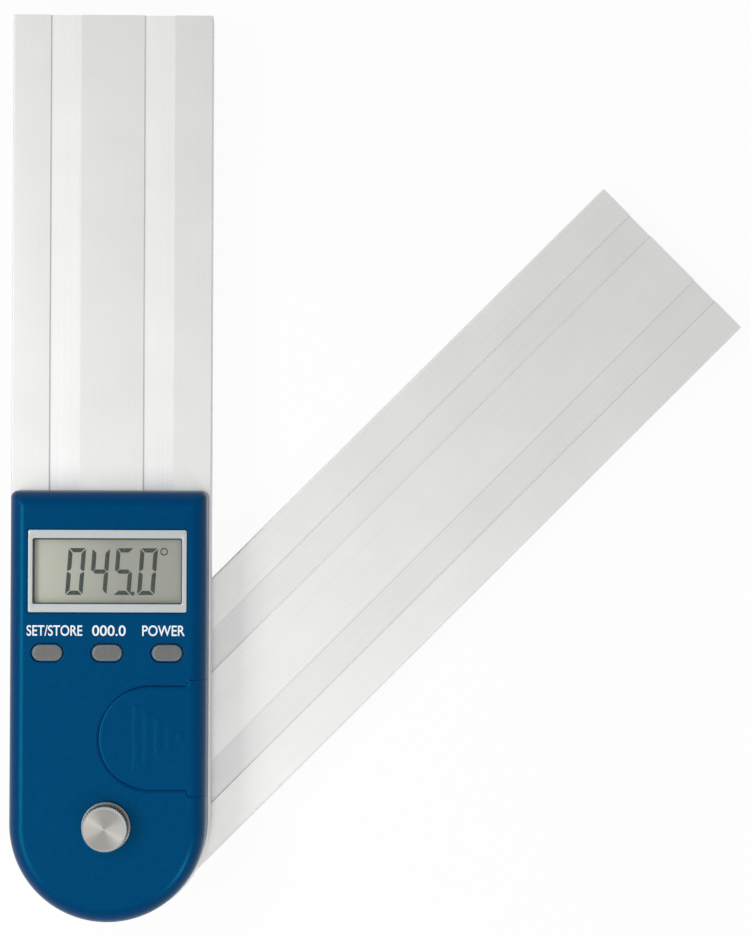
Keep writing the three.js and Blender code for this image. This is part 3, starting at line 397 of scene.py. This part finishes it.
def trace(start, strokes, height):
    """Draws a closed outline with one pen: a line to (x, y), or an arc (x, y, degrees) about it"""
    drawing = bmesh.new()
    pen = drawing.verts.new((start[0] * MM, start[1] * MM, height * MM))
    for stroke in strokes:
        if len(stroke) == 2:
            pen = bmesh.ops.extrude_vert_indiv(drawing, verts=[pen])["verts"][0]
            pen.co.x, pen.co.y = stroke[0] * MM, stroke[1] * MM
        else:
            x, y, degrees = stroke
            steps = max(2, round(abs(degrees) / 360 * ROUND_STEPS_PER_TURN))
            swept = bmesh.ops.spin(drawing, geom=[pen], cent=(x * MM, y * MM, height * MM), axis=(0, 0, 1),
                                   angle=math.radians(degrees), steps=steps)
            pen = [part for part in swept["geom_last"] if isinstance(part, bmesh.types.BMVert)][0]
    points = [vert.co.copy() for vert in drawing.verts]
    drawing.free()
    if (points[-1] - points[0]).length < WELD * MM:
        points.pop()
    return points


def in_order(shape):
    """Lists edges and faces by their points, since extruding lists them by chance in each run"""
    shape.verts.index_update()
    for parts in (shape.edges, shape.faces):
        parts.sort(key=lambda part: min(vert.index for vert in part.verts) * len(shape.verts)
                   + max(vert.index for vert in part.verts))


def loft(shape, outlines, closed=False):
    """Extrudes the first outline from one to the next, and fills both ends or joins them if closed"""
    ring = [shape.verts.new(point) for point in outlines[0]]
    edges = [shape.edges.new(pair) for pair in zip(ring, ring[1:] + ring[:1])]
    first_edges, first_ring = edges, ring
    for points in outlines[1:] + (outlines[:1] if closed else []):
        grown = bmesh.ops.extrude_edge_only(shape, edges=edges)["geom"]
        fresh = {part for part in grown if isinstance(part, bmesh.types.BMVert)}
        ring = [next(edge.other_vert(vert) for edge in vert.link_edges if edge.other_vert(vert) in fresh)
                for vert in ring]
        for vert, point in zip(ring, points):
            vert.co = point
        edges = [part for part in grown if isinstance(part, bmesh.types.BMEdge)
                 and part.verts[0] in fresh and part.verts[1] in fresh]
    if closed:
        bmesh.ops.weld_verts(shape, targetmap=dict(zip(ring, first_ring)))
    else:
        bmesh.ops.edgeloop_fill(shape, edges=first_edges)
        bmesh.ops.edgeloop_fill(shape, edges=edges)
    in_order(shape)
    bmesh.ops.recalc_face_normals(shape, faces=shape.faces)


def housing_outline(inset, height):
    """The housing seen from above: a half round at the pivot and two small corners at the top"""
    half, top = HOUSING_HALF_WIDTH - inset, HOUSING_TOP_EDGE - inset
    corner = max(HOUSING_CORNER - inset, SMALLEST_CORNER)
    return trace((-half, 0), (
        (0, 0, 180), (half, top - corner), (half - corner, top - corner, 90),
        (-half + corner, top), (-half + corner, top - corner, 90)), height)


def housing_form():
    """The housing's outside as a solid: drafted sides, then the rim as a quarter round"""
    shape = bmesh.new()
    rings = [housing_outline(0, HOUSING_FOOT)]
    for step in range(RIM_STEPS + 1):
        angle = math.pi / 2 * step / RIM_STEPS
        rings.append(housing_outline(DRAFT + RIM_RADIUS * (1 - math.cos(angle)),
                                     LID - RIM_RADIUS * (1 - math.sin(angle))))
    loft(shape, rings)
    return shape


def cover_outline(grow, height):
    """The battery cover seen from above: round at the left, with a step out near the right edge"""
    x, y = COVER_CENTRE
    side, bend, step = COVER_RADIUS + grow, COVER_STEP / 2, COVER_STEP_AT - grow
    beyond = HOUSING_HALF_WIDTH + 2 * TOOL_OVERSHOOT
    return trace((x, y + side), (
        (x, y, 180), (step, y - side),
        (step, y - side - bend, -90), (step + COVER_STEP, y - side - bend, 90),
        (beyond, y - side - COVER_STEP), (beyond, y + side + COVER_STEP),
        (step + COVER_STEP, y + side + COVER_STEP), (step + COVER_STEP, y + side + bend, 90),
        (step, y + side + bend, -90)), height)


def rounded_box(width, length, corner, centre, height):
    """The outline of a plate with rounded corners, seen from above"""
    x, y = centre
    across, along = width / 2 - corner, length / 2 - corner
    return trace((x - across - corner, y - along), (
        (x - across, y - along, 90), (x + across, y - along - corner), (x + across, y - along, 90),
        (x + across + corner, y + along), (x + across, y + along, 90),
        (x - across, y + along + corner), (x - across, y + along, 90)), height)


def disc_outline(radius, centre, height):
    """A circle seen from above"""
    return trace((centre[0] - radius, centre[1]), ((centre[0], centre[1], 360),), height)


def rolled_edge(reach, drop):
    """How a moulded edge rolls over into the lid: how far back, and how high, at each step"""
    turns = [math.radians(degrees) for degrees in ROLL_DEGREES]
    steps = [(reach * (1 - math.cos(turn)), LID - drop * (1 - math.sin(turn))) for turn in turns]
    back, height = steps[-1]
    return steps + [(2 * reach - back, 2 * LID - height)]


def carve(form, tool, operation="DIFFERENCE"):
    """Takes the tool's volume away from the form, adds it to it, or keeps what the two share"""
    blanks = []
    for blank in (form, tool):
        mesh = bpy.data.meshes.new("blank")
        blank.to_mesh(mesh)
        blank.free()
        blanks.append(bpy.data.objects.new("blank", mesh))
        bpy.context.scene.collection.objects.link(blanks[-1])
    cut = blanks[0].modifiers.new("cut", "BOOLEAN")
    cut.operation = operation
    cut.object = blanks[1]
    cut.solver = "EXACT"
    cut.use_self = operation == "UNION"
    result = bmesh.new()
    result.from_object(blanks[0], bpy.context.evaluated_depsgraph_get())
    for blank in blanks:
        bpy.data.objects.remove(blank)
    bmesh.ops.remove_doubles(result, verts=result.verts, dist=CUT_WELD * MM)
    bmesh.ops.dissolve_limit(result, angle_limit=math.radians(FLAT_WITHIN_DEGREES),
                             verts=result.verts, edges=result.edges)
    return result


blue_abs = moulded_plastic("blue_abs_spark_grain", "#002C5D", "#003468", 0.3, 0.4, 0.012,
                           Specular_IOR_Level=0.4, Specular_Tint=linear("#28DCFF"))

room = bmesh.new()
loft(room, [housing_outline(WALL, HOUSING_FOOT - TOOL_OVERSHOOT),
            housing_outline(WALL, CEILING - CEILING_CHAMFER),
            housing_outline(WALL + CEILING_CHAMFER, CEILING)])
posts = bmesh.new()
for place in BOSSES:
    loft(posts, [disc_outline(BOSS_RADIUS, place, height)
                 for height in (HOUSING_FOOT, LID - TOOL_OVERSHOOT)])
room = carve(room, posts)
shell = carve(housing_form(), room)

# The lid's openings: the display's stepped place, the key holes, the knob's bore, the pilot holes
# for the screws and the stepped mouth of the battery compartment.
holes = bmesh.new()
width, length, corner = POCKET
loft(holes, [rounded_box(*WINDOW, DISPLAY_CENTRE, CEILING - TOOL_OVERSHOOT),
             rounded_box(*WINDOW, DISPLAY_CENTRE, POCKET_FLOOR),
             rounded_box(*POCKET, DISPLAY_CENTRE, POCKET_FLOOR)] + [
             rounded_box(width + 2 * back, length + 2 * back, corner + back, DISPLAY_CENTRE, height)
             for back, height in rolled_edge(HOLE_EDGE, HOLE_EDGE)])
width, length = KEY_HOLE
for x in KEY_PLACES:
    loft(holes, [rounded_box(width, length, length / 2, (x, KEY_ROW), CEILING - TOOL_OVERSHOOT)] + [
                 rounded_box(width + 2 * back, length + 2 * back, length / 2 + back, (x, KEY_ROW), height)
                 for back, height in rolled_edge(HOLE_EDGE, HOLE_EDGE)])
loft(holes, [disc_outline(BORE_RADIUS, (0, 0), height)
             for height in (CEILING - TOOL_OVERSHOOT, LID + TOOL_OVERSHOOT)])
for place in BOSSES:
    loft(holes, [disc_outline(PILOT_RADIUS, place, height)
                 for height in (HOUSING_FOOT - TOOL_OVERSHOOT, CEILING)])
loft(holes, [cover_outline(COVER_SEAM, COVER_BOTTOM - COVER_SEAM),
             cover_outline(COVER_SEAM, LID - SEAM_DEPTH),
             cover_outline(COVER_SEAM + 2 * SEAM_EDGE, LID + SEAM_DEPTH)])
housing = finished("housing_moulding", carve(shell, holes), blue_abs)
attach(housing, "fixed_arm")
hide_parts("housing_shell")


# The battery cover: cut from the housing's own form, so that lid, rim and side run through. It
# slides off to the right on two runners under the lid, and five low ribs give a thumb its grip.
COVER_HOLLOW = ((-10, 0, 10), (22.5, 45, 25.1))
RIB_FIRST = 7.2
RIB_PITCH = 2.7
RIB_WIDTH = 2.6
RIB_LENGTHS = (16.2, 12.8, 9.4, 6.0, 2.6)
RIB_HEIGHT = 0.135
RIB_SINK = 0.002
RIB_ROOT = 0.3
RIB_STEPS = 6
RIB_END_SHARE = 0.45
RUNNER_BOTTOM = 23.1
RUNNER_NEAR = 11.45
RUNNER_NECK = (12.35, 25.8)
RUNNER_FOOT = (13.45, 24.0)


def block(shape, low, high):
    """A block between two corners"""
    made = bmesh.ops.create_cube(shape, size=1)["verts"]
    low, high = Vector(low), Vector(high)
    bmesh.ops.transform(shape, verts=made, matrix=(
        Matrix.Translation((low + high) / 2 * MM) @ Matrix.Diagonal((*((high - low) * MM), 1))))
    return made


outline = bmesh.new()
loft(outline, [cover_outline(COVER_FIT, COVER_BOTTOM)] + [
               cover_outline(COVER_FIT - back, height) for back, height in rolled_edge(*COVER_ROLL)])
cover = carve(housing_form(), outline, "INTERSECT")
hollow = bmesh.new()
block(hollow, *COVER_HOLLOW)
cover = carve(cover, hollow)
fittings = bmesh.new()
for index, length in enumerate(RIB_LENGTHS):
    crown = (RIB_FIRST + index * RIB_PITCH, COVER_CENTRE[1])
    end = RIB_WIDTH * RIB_END_SHARE
    rings = [rounded_box(RIB_WIDTH, length + RIB_WIDTH / 2, end, crown, LID - RIB_ROOT)]
    for step in range(RIB_STEPS):
        share = 1 - step / RIB_STEPS
        rise = RIB_HEIGHT * (1 + math.cos(math.pi * share)) / 2 - RIB_SINK
        rings.append(rounded_box(RIB_WIDTH * share, length - RIB_WIDTH * (0.5 - share), end * share,
                                 crown, LID + rise))
    loft(fittings, rings)
for side in (-1, 1):
    for far, top in (RUNNER_NECK, RUNNER_FOOT):
        across = sorted((COVER_CENTRE[1] + side * RUNNER_NEAR, COVER_CENTRE[1] + side * far))
        block(fittings, (COVER_CENTRE[0], across[0], RUNNER_BOTTOM), (COVER_STEP_AT, across[1], top))
cover = finished("battery_cover_moulding", carve(cover, fittings, "UNION"), blue_abs)
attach(cover, "cell_cover")
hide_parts("battery_cover")


# The display: a satin silver trim frame let into the lid, a clear acrylic lens under it, and a
# liquid crystal panel with a greenish grey field, painted paler at the left and darker at the right
# as painted light from the left. A dark border painted round the window is partly the panel's seal
# line and partly painted shade in the window's recess, and the reading stands in slanted
# seven-segment figures.
FRAME_OUTSIDE = (38.8, 20.2, 0.5)
FRAME_OPENING = (36.6, 16.1, 0.5)
FRAME_BOTTOM = 25.7
FRAME_TOP = 26.6
FRAME_EDGE = 0.15
FRAME_EDGE_STEP = 0.3
TRIM_FLECK = 0.5
LENS_COAT = 0.3
FIELD_PAINTED_LIGHT_TO_SHADE = (-19, 3)
FIELD_CLOUD = 6
FIELD_UNEVEN = 0.15
# The dark border round the window: partly the panel's seal line, partly painted shade in the window's
# recess.
SEAL_AND_SHADE_LEFT = -18.0
SEAL_AND_SHADE_RIGHT = 17.95
SEAL_AND_SHADE_TOP = 69.95
SEAL_AND_SHADE_BOTTOM = 54.5
FIGURE_BOTTOM = 24.5
FIGURE_TOP = 24.53
FIGURE_HEIGHT = 11.5
FIGURE_WIDTH = 4.3
FIGURE_BASE = 56.4
FIGURE_PLACES = (("0", -10.55), ("4", -4.67), ("5", 1.21), ("0", 7.09))
FIGURE_SLANT = 0.075
STROKE = 1.05
STROKE_GAP = 0.19
LIT = {"0": "abcdef", "4": "bcfg", "5": "acdfg"}
POINT_PLACE = (6.05, 56.75)
POINT_RADIUS = 0.5
DEGREE_PLACE = (13.74, 67.06)
DEGREE_OUTSIDE = 0.95
DEGREE_INSIDE = 0.65

# The satin coat's real grain is finer than a pixel, so it is drawn half a millimetre wide.
silver_trim, tree, shader, place = new_finish("satin_silver_trim", "#ADB3B5", 0.36, 0.4)
flecks = add(tree, "ShaderNodeTexNoise", {"Vector": place, "Scale": 1 / (TRIM_FLECK * MM), "Detail": 2.0})
tint = add(tree, "ShaderNodeMix", {0: flecks.outputs[0], 6: linear("#A8AEB0"), 7: linear("#B2B8BA")},
           data_type="RGBA")
tree.links.new(tint.outputs[2], shader.inputs["Base Color"])

shape = bmesh.new()
rings = []
half_way = FRAME_EDGE * FRAME_EDGE_STEP
levels = ((FRAME_BOTTOM, 0), (FRAME_TOP - FRAME_EDGE, 0), (FRAME_TOP - half_way, half_way),
          (FRAME_TOP, FRAME_EDGE))
for box, grow in ((FRAME_OUTSIDE, -1), (FRAME_OPENING, 1)):
    width, length, corner = box
    side = [rounded_box(width + 2 * grow * inset, length + 2 * grow * inset, corner + grow * inset,
                        DISPLAY_CENTRE, height) for height, inset in levels]
    rings += side if grow < 0 else side[::-1]
loft(shape, rings, closed=True)
trim = finished("display_trim_frame", shape, silver_trim)
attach(trim, "fixed_arm")
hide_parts("display_frame")

acrylic = bpy.data.materials.new("clear_acrylic")
acrylic.use_nodes = True
tree = acrylic.node_tree
clear = add(tree, "ShaderNodeBsdfTransparent", {"Color": linear("#FAFBFA")})
sheen = add(tree, "ShaderNodeBsdfGlossy", {"Color": linear("#FFFFFF"), "Roughness": 0.06})
reflects = add(tree, "ShaderNodeFresnel", {"IOR": 1.49})
coated = add(tree, "ShaderNodeMath", {0: reflects.outputs[0], 1: LENS_COAT}, operation="MULTIPLY")
mixed = add(tree, "ShaderNodeMixShader", {0: coated.outputs[0], 1: clear.outputs[0], 2: sheen.outputs[0]})
tree.links.new(mixed.outputs[0], tree.nodes["Material Output"].inputs["Surface"])
glass = finished("display_acrylic_lens", merged_copy("display_lens"), acrylic, edge=BROKEN_EDGE)
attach(glass, "fixed_arm")
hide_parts("display_lens")

lcd_field, tree, shader, place = new_finish("lcd_field", "#A9AA9E", 0.45, Specular_IOR_Level=0.2)
axes = add(tree, "ShaderNodeSeparateXYZ", {0: place})
# Painted light: the field runs from pale at the left to darker at the right, as if lit from the left.
painted_light_at, dark = FIELD_PAINTED_LIGHT_TO_SHADE
across = add(tree, "ShaderNodeMapRange", {
    "Value": axes.outputs["X"], "From Min": painted_light_at * MM, "From Max": dark * MM})
milk = add(tree, "ShaderNodeTexNoise", {"Vector": place, "Scale": 1 / (FIELD_CLOUD * MM), "Detail": 1.0})
uneven = add(tree, "ShaderNodeMapRange", {
    "Value": milk.outputs[0], "To Min": -FIELD_UNEVEN, "To Max": FIELD_UNEVEN})
painted_falloff_and_clouding = add(tree, "ShaderNodeMath", {0: across.outputs[0], 1: uneven.outputs[0]},
            operation="ADD", use_clamp=True)
tint = add(tree, "ShaderNodeMix", {0: painted_falloff_and_clouding.outputs[0], 6: linear("#CECDC0"), 7: linear("#ABA9A1")},
           data_type="RGBA")
# Painted shade: a dark border round the window, partly the seal line and partly the recess's shade.
sealed_and_shaded = None
for axis, low, high in (("X", SEAL_AND_SHADE_LEFT, SEAL_AND_SHADE_RIGHT), ("Y", SEAL_AND_SHADE_BOTTOM, SEAL_AND_SHADE_TOP)):
    middle, half = (low + high) / 2 * MM, (high - low) / 2 * MM
    reach = add(tree, "ShaderNodeMath", {0: axes.outputs[axis], 1: middle, 2: half},
                operation="COMPARE").outputs[0]
    sealed_and_shaded = reach if sealed_and_shaded is None else add(tree, "ShaderNodeMath", {0: sealed_and_shaded, 1: reach},
                                              operation="MULTIPLY").outputs[0]
seal_and_shade_edged = add(tree, "ShaderNodeMix", {0: sealed_and_shaded, 6: linear("#5C5D57"), 7: tint.outputs[2]}, data_type="RGBA")
tree.links.new(seal_and_shade_edged.outputs[2], shader.inputs["Base Color"])
panel = finished("lcd_glass_panel", merged_copy("lcd_panel"), lcd_field, edge=BROKEN_EDGE)
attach(panel, "fixed_arm")
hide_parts("lcd_panel")


def segments(left, right, low, high):
    """The seven bars of one upright figure, from a at the top clockwise to f, with g in the middle"""
    middle, gap, half = (low + high) / 2, STROKE_GAP, STROKE / 2
    bars = {"g": ((left + half, middle), (left + STROKE, middle + half), (right - STROKE, middle + half),
                  (right - half, middle), (right - STROKE, middle - half), (left + STROKE, middle - half))}
    for name, outer, inner in (("a", high, high - STROKE), ("d", low, low + STROKE)):
        bars[name] = ((left + gap, outer), (right - gap, outer),
                      (right - gap - STROKE, inner), (left + gap + STROKE, inner))
    for name, outer, inward, far in (("b", right, -1, high), ("c", right, -1, low),
                                     ("e", left, 1, low), ("f", left, 1, high)):
        rise = 1 if far == high else -1
        inner = outer + inward * STROKE
        bars[name] = ((outer, far - rise * gap), (outer, middle + rise * gap),
                      (outer + inward * half, middle + rise * gap), (inner, middle + rise * (half + gap)),
                      (inner, far - rise * (gap + STROKE)))
    return bars


shape = bmesh.new()
for figure, left in FIGURE_PLACES:
    bars = segments(left, left + FIGURE_WIDTH, FIGURE_BASE, FIGURE_BASE + FIGURE_HEIGHT)
    for name in LIT[figure]:
        slanted = [(x + (y - FIGURE_BASE) * FIGURE_SLANT, y) for x, y in bars[name]]
        loft(shape, [trace(slanted[0], slanted[1:], height) for height in (FIGURE_BOTTOM, FIGURE_TOP)])
loft(shape, [disc_outline(POINT_RADIUS, POINT_PLACE, height) for height in (FIGURE_BOTTOM, FIGURE_TOP)])
loft(shape, [disc_outline(radius, DEGREE_PLACE, height) for radius, height in (
    (DEGREE_OUTSIDE, FIGURE_BOTTOM), (DEGREE_OUTSIDE, FIGURE_TOP),
    (DEGREE_INSIDE, FIGURE_TOP), (DEGREE_INSIDE, FIGURE_BOTTOM))], closed=True)
lcd_ink = moulded_plastic("lcd_dark_segments", "#36403D", "#434D49", 0.5, 0.6, 0.001,
                          Specular_IOR_Level=0.1)
figures = finished("lcd_figures", shape, lcd_ink)
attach(figures, "fixed_arm")


# The lettering over the keys: plain generic words and figures, pad printed in white. The ink is
# a thin even satin coat, which stands a hair above the lid.
LABELS = (("SET/STORE", -12.85, 13.6), ("000.0", 0.45, 8.2), ("POWER", 13.8, 10.4))
LABEL_BASE = 46.45
LABEL_HEIGHT = 2.6
LETTER_GROWTH = 0.01
LETTER_DEPTH = 0.5
INK_THICKNESS = 0.02

white_ink = moulded_plastic("white_pad_print", "#E8ECEE", "#FAFBFB", 0.5, 0.3, 0.002)
for number, (words, middle, width) in enumerate(LABELS):
    letters = bpy.data.curves.new("letters", "FONT")
    letters.body = words
    letters.offset = LETTER_GROWTH
    letters.extrude = LETTER_DEPTH
    text = bpy.data.objects.new("letters", letters)
    bpy.context.scene.collection.objects.link(text)
    mesh = bpy.data.meshes.new_from_object(text.evaluated_get(bpy.context.evaluated_depsgraph_get()))
    shape = bmesh.new()
    shape.from_mesh(mesh)
    bpy.data.objects.remove(text)
    low = Vector([min(vert.co[axis] for vert in shape.verts) for axis in range(3)])
    high = Vector([max(vert.co[axis] for vert in shape.verts) for axis in range(3)])
    size = Vector((width, LABEL_HEIGHT, INK_THICKNESS)) * MM
    fit = Matrix.Diagonal((*(size[axis] / (high[axis] - low[axis]) for axis in range(3)), 1))
    foot = Vector((middle - width / 2, LABEL_BASE, LID)) * MM
    to_lid = Matrix.Translation(foot) @ fit @ Matrix.Translation(-low)
    bmesh.ops.transform(shape, verts=shape.verts, matrix=to_lid)
    bmesh.ops.remove_doubles(shape, verts=shape.verts, dist=WELD * MM)
    bmesh.ops.recalc_face_normals(shape, faces=shape.faces)
    label = finished("key_label_" + str(number + 1), shape, white_ink)
    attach(label, "fixed_arm")


# The three keys: warm grey ABS caps with a matt crown and a rounded, polished rim, which stand
# just above the lid in a dark gap. The rim's bluish grey colour is a painted highlight. Each presses
# the black plunger of a small switch on the board.
KEY_CAP = (7.55, 4.15)
KEY_TOP = 26.9
KEY_EDGE = 0.75
KEY_EDGE_STEPS = 6
KEY_RIM_PAINTED_HIGHLIGHT_NORMALS = (0.02, 0.97)
FLANGE = 0.7
FLANGE_LEVELS = (23.6, 24.3)
STEM_RADIUS = 1.6
STEM_LEVELS = (23.0, 24.0)

key_grey = moulded_plastic("warm_grey_key_abs", "#5D5C59", "#656461", 0.36, 0.4, 0.006,
                           Specular_IOR_Level=0.5)
key_rim_painted_highlight = moulded_plastic("key_rim_painted_highlight_abs", "#5E7484", "#667C8B", 0.28, 0.4, 0.002,
                          Specular_IOR_Level=0.5)
black_abs = moulded_plastic("black_abs", "#1B1B1D", "#262628", 0.5, 0.4, 0.015)
for key, x in zip(("hold", "zero", "power"), KEY_PLACES):
    width, length = KEY_CAP
    low, high = FLANGE_LEVELS
    levels = [(low, 2 * FLANGE), (high, 2 * FLANGE), (high, 0)]
    for step in range(KEY_EDGE_STEPS + 1):
        angle = math.pi / 2 * step / KEY_EDGE_STEPS
        levels.append((KEY_TOP - KEY_EDGE * (1 - math.sin(angle)), -2 * KEY_EDGE * (1 - math.cos(angle))))
    shape = bmesh.new()
    loft(shape, [rounded_box(width + more, length + more, (length + more) / 2, (x, KEY_ROW), height)
                 for height, more in levels])
    stem = bmesh.new()
    loft(stem, [disc_outline(STEM_RADIUS, (x, KEY_ROW), height) for height in STEM_LEVELS])
    shape = carve(shape, stem, "UNION")
    # Painted highlight: the rim faces above the lid get the bluish grey colour.
    for face in shape.faces:
        on_painted_rim = KEY_RIM_PAINTED_HIGHLIGHT_NORMALS[0] < face.normal.z < KEY_RIM_PAINTED_HIGHLIGHT_NORMALS[1]
        if on_painted_rim and face.calc_center_median().z > LID * MM:
            face.material_index = 1
    cap = finished("key_cap_" + key, shape, key_grey, key_rim_painted_highlight)
    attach(cap, key + "_key")
    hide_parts("button_" + key)
    for part, finish in (("plunger_", black_abs), ("switch_", turned_steel)):
        for holder in nodes[part + key].material_slots:
            holder.material = finish


# The lock knob and its washer: a knurled steel knob on the shaft's thread, with a chamfer and
# a face turned on the lathe. The fine rings of the face spread the light into a bow tie. The knurl
# is painted darker than the face, as painted shade, and the chamfer paler, as a painted highlight;
# the washer's dark tone is partly its own and partly painted shade under the knob.
KNOB_RADIUS = 5.55
KNURL_DEPTH = 0.22
KNURL_TEETH = 60
KNOB_BOTTOM = 27.8
KNOB_TOP = 32.2
KNOB_CHAMFER = 0.55
KNURL_LOW = 28.3
NECK_RADIUS = 3.6
LIP_RADIUS = 3.95
LIP_BOTTOM = 26.75
LIP_HEIGHT = 0.3
UNDERCUT = 0.1
KNURL_RUN_OUT = 0.15
FACE_EDGE = 0.06
CENTRE_MARK = 0.12
KNOB_BORE = 2.6
KNOB_BORE_TOP = 30.45
FACE_RING = 0.16
FACE_NORMAL = 0.99

# Painted shade: the knurl's steel is painted darker than the face.
knurl_steel_painted_shade = turned_metal("knurled_steel_painted_shade", "#5F5B56", "#8A857E", 0.36)
face_steel, tree, shader, place = new_finish("lathe_turned_face", "#8E8C87", 0.32, 1.0, Anisotropic=0.9)
flat = add(tree, "ShaderNodeVectorMath", {0: place, 1: (1, 1, 0)}, operation="MULTIPLY")
radius = add(tree, "ShaderNodeVectorMath", {0: flat.outputs[0]}, operation="LENGTH")
rings = add(tree, "ShaderNodeTexNoise", {
    "W": radius.outputs["Value"], "Scale": 1 / (FACE_RING * MM), "Detail": 3.0}, noise_dimensions="1D")
tint = add(tree, "ShaderNodeMix", {0: rings.outputs[0], 6: linear("#86847F"), 7: linear("#979590")},
           data_type="RGBA")
outward = add(tree, "ShaderNodeVectorTransform", {"Vector": flat.outputs[0]}, vector_type="VECTOR",
              convert_from="OBJECT", convert_to="WORLD")
tree.links.new(tint.outputs[2], shader.inputs["Base Color"])
tree.links.new(outward.outputs[0], shader.inputs["Tangent"])


def knob_ring(radius, height, depth=0.0):
    """A circle round the pivot. With a depth, every second point lies that much deeper"""
    circle = bmesh.new()
    made = bmesh.ops.create_circle(circle, segments=2 * KNURL_TEETH, radius=radius * MM)["verts"]
    bmesh.ops.translate(circle, verts=made, vec=(0, 0, height * MM))
    bmesh.ops.scale(circle, verts=made[::2], vec=(1 - depth / radius, 1 - depth / radius, 1))
    points = [vert.co.copy() for vert in made]
    circle.free()
    return points


shape = bmesh.new()
root = KNOB_RADIUS - KNURL_DEPTH
face = KNOB_RADIUS - KNOB_CHAMFER
loft(shape, [knob_ring(KNOB_BORE, KNOB_BORE_TOP), knob_ring(KNOB_BORE, LIP_BOTTOM),
             knob_ring(LIP_RADIUS, LIP_BOTTOM), knob_ring(LIP_RADIUS, LIP_BOTTOM + LIP_HEIGHT),
             knob_ring(NECK_RADIUS, LIP_BOTTOM + LIP_HEIGHT), knob_ring(NECK_RADIUS, KNOB_BOTTOM),
             knob_ring(root - UNDERCUT, KNOB_BOTTOM), knob_ring(root, KNOB_BOTTOM + UNDERCUT),
             knob_ring(root, KNURL_LOW), knob_ring(KNOB_RADIUS, KNURL_LOW + KNURL_RUN_OUT, KNURL_DEPTH),
             knob_ring(KNOB_RADIUS, KNOB_TOP - KNOB_CHAMFER, KNURL_DEPTH),
             knob_ring(face, KNOB_TOP - FACE_EDGE), knob_ring(face - FACE_EDGE, KNOB_TOP),
             knob_ring(CENTRE_MARK, KNOB_TOP), knob_ring(CENTRE_MARK / 4, KNOB_TOP - CENTRE_MARK / 2)])
# Painted highlight: the chamfer's steel is painted paler than the face.
chamfer_steel_painted_highlight = turned_metal("turned_chamfer_painted_highlight", "#B3B9BC", "#C9CED0", 0.3)
for face in shape.faces:
    middle = face.calc_center_median().z / MM
    if middle > KNOB_TOP - FACE_EDGE / 2 and face.normal.z > FACE_NORMAL:
        face.material_index = 1
    elif middle > KNOB_TOP - KNOB_CHAMFER:
        face.material_index = 2
knob = finished("lock_knob_knurled", shape, knurl_steel_painted_shade, face_steel, chamfer_steel_painted_highlight)
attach(knob, "knob")
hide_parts("lock_knob")

# The washer's dark tone is partly its own steel and partly painted shade under the knob.
washer_steel_and_painted_shade = turned_metal("washer_steel_and_painted_shade", "#73716C", "#96938D", 0.3, metallic=0.6)
washer = finished("knob_washer_turned", merged_copy("knob_washer"), washer_steel_and_painted_shade, edge=BROKEN_EDGE)
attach(washer, "captive_washer")
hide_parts("knob_washer")


# The cell and its holder: a 20 mm steel coin cell in a black moulded cup, between a sprung leaf
# under it and a contact at its rim, both stamped from gold-coloured plated strip.
cell_steel = turned_metal("cell_steel", "#A9ABAC", "#C9CBCC", 0.28, centre=COVER_CENTRE)
plated_spring = turned_metal("plated_spring", "#B7A877", "#CDBF90", 0.3, centre=COVER_CENTRE)
for node, finish, slot in (("coin_cell", cell_steel, "cell_steel"),
                           ("battery_holder", black_abs, "black_abs"),
                           ("negative_contact", plated_spring, "cell_steel"),
                           ("positive_contact", plated_spring, "cell_steel")):
    piece = finished(node + "_detail", merged_copy(node), finish, edge=BROKEN_EDGE)
    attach(piece, "fixed_arm")
    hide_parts(node)


# The electronics on the upper arm: a moulded base plate, the green circuit board with its epoxy
# drop and rubber contact strip, and the ring-shaped encoder rotor on the shaft.
TRACK_SPACING = 1.8
TRACK_EDGE = (0.05, 0.09)

# The real board's tracks are finer, and are drawn coarser here to be seen.
solder_mask, tree, shader, place = new_finish("green_solder_mask", "#1E5B36", 0.35)
cells = add(tree, "ShaderNodeTexVoronoi", {"Vector": place, "Scale": 1 / (TRACK_SPACING * MM)},
            distance="MANHATTAN", feature="DISTANCE_TO_EDGE")
tracks = add(tree, "ShaderNodeMapRange", {
    "Value": cells.outputs[0], "From Min": TRACK_EDGE[0], "From Max": TRACK_EDGE[1]})
tint = add(tree, "ShaderNodeMix", {0: tracks.outputs[0], 6: linear("#2F7A48"), 7: linear("#1B5231")},
           data_type="RGBA")
tree.links.new(tint.outputs[2], shader.inputs["Base Color"])
epoxy = moulded_plastic("chip_epoxy", "#111112", "#1C1C1E", 0.3, 1.0, 0.02)
rubber = moulded_plastic("contact_rubber", "#2A2A2C", "#38383A", 0.7, 0.3, 0.01)
rotor_board = moulded_plastic("bare_glass_fibre_board", "#A8965E", "#C4B27A", 0.4, 0.5, 0.003)
for node, finish in (("base_plate", black_abs), ("main_board", solder_mask),
                     ("controller_blob", epoxy), ("contact_strip", rubber),
                     ("encoder_rotor", rotor_board), ("rotor_collar", cast_brass)):
    for holder in nodes[node].material_slots:
        holder.material = finish


# The screws: zinc plated steel, four up through the arm into the housing's bosses and three
# that hold the board on its plate.
SCREW_EDGE = 0.08

zinc = turned_metal("zinc_plated_screw", "#9A9CA0", "#C0C2C5", 0.35)
for number in (1, 2, 3, 4):
    shape = merged_copy("case_screw_" + str(number))
    screw = finished("case_screw_plated_" + str(number), shape, zinc, edge=SCREW_EDGE)
    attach(screw, "fixed_arm")
    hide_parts("case_screw_" + str(number))
for number in (1, 2, 3):
    for holder in nodes["board_screw_" + str(number)].material_slots:
        holder.material = zinc
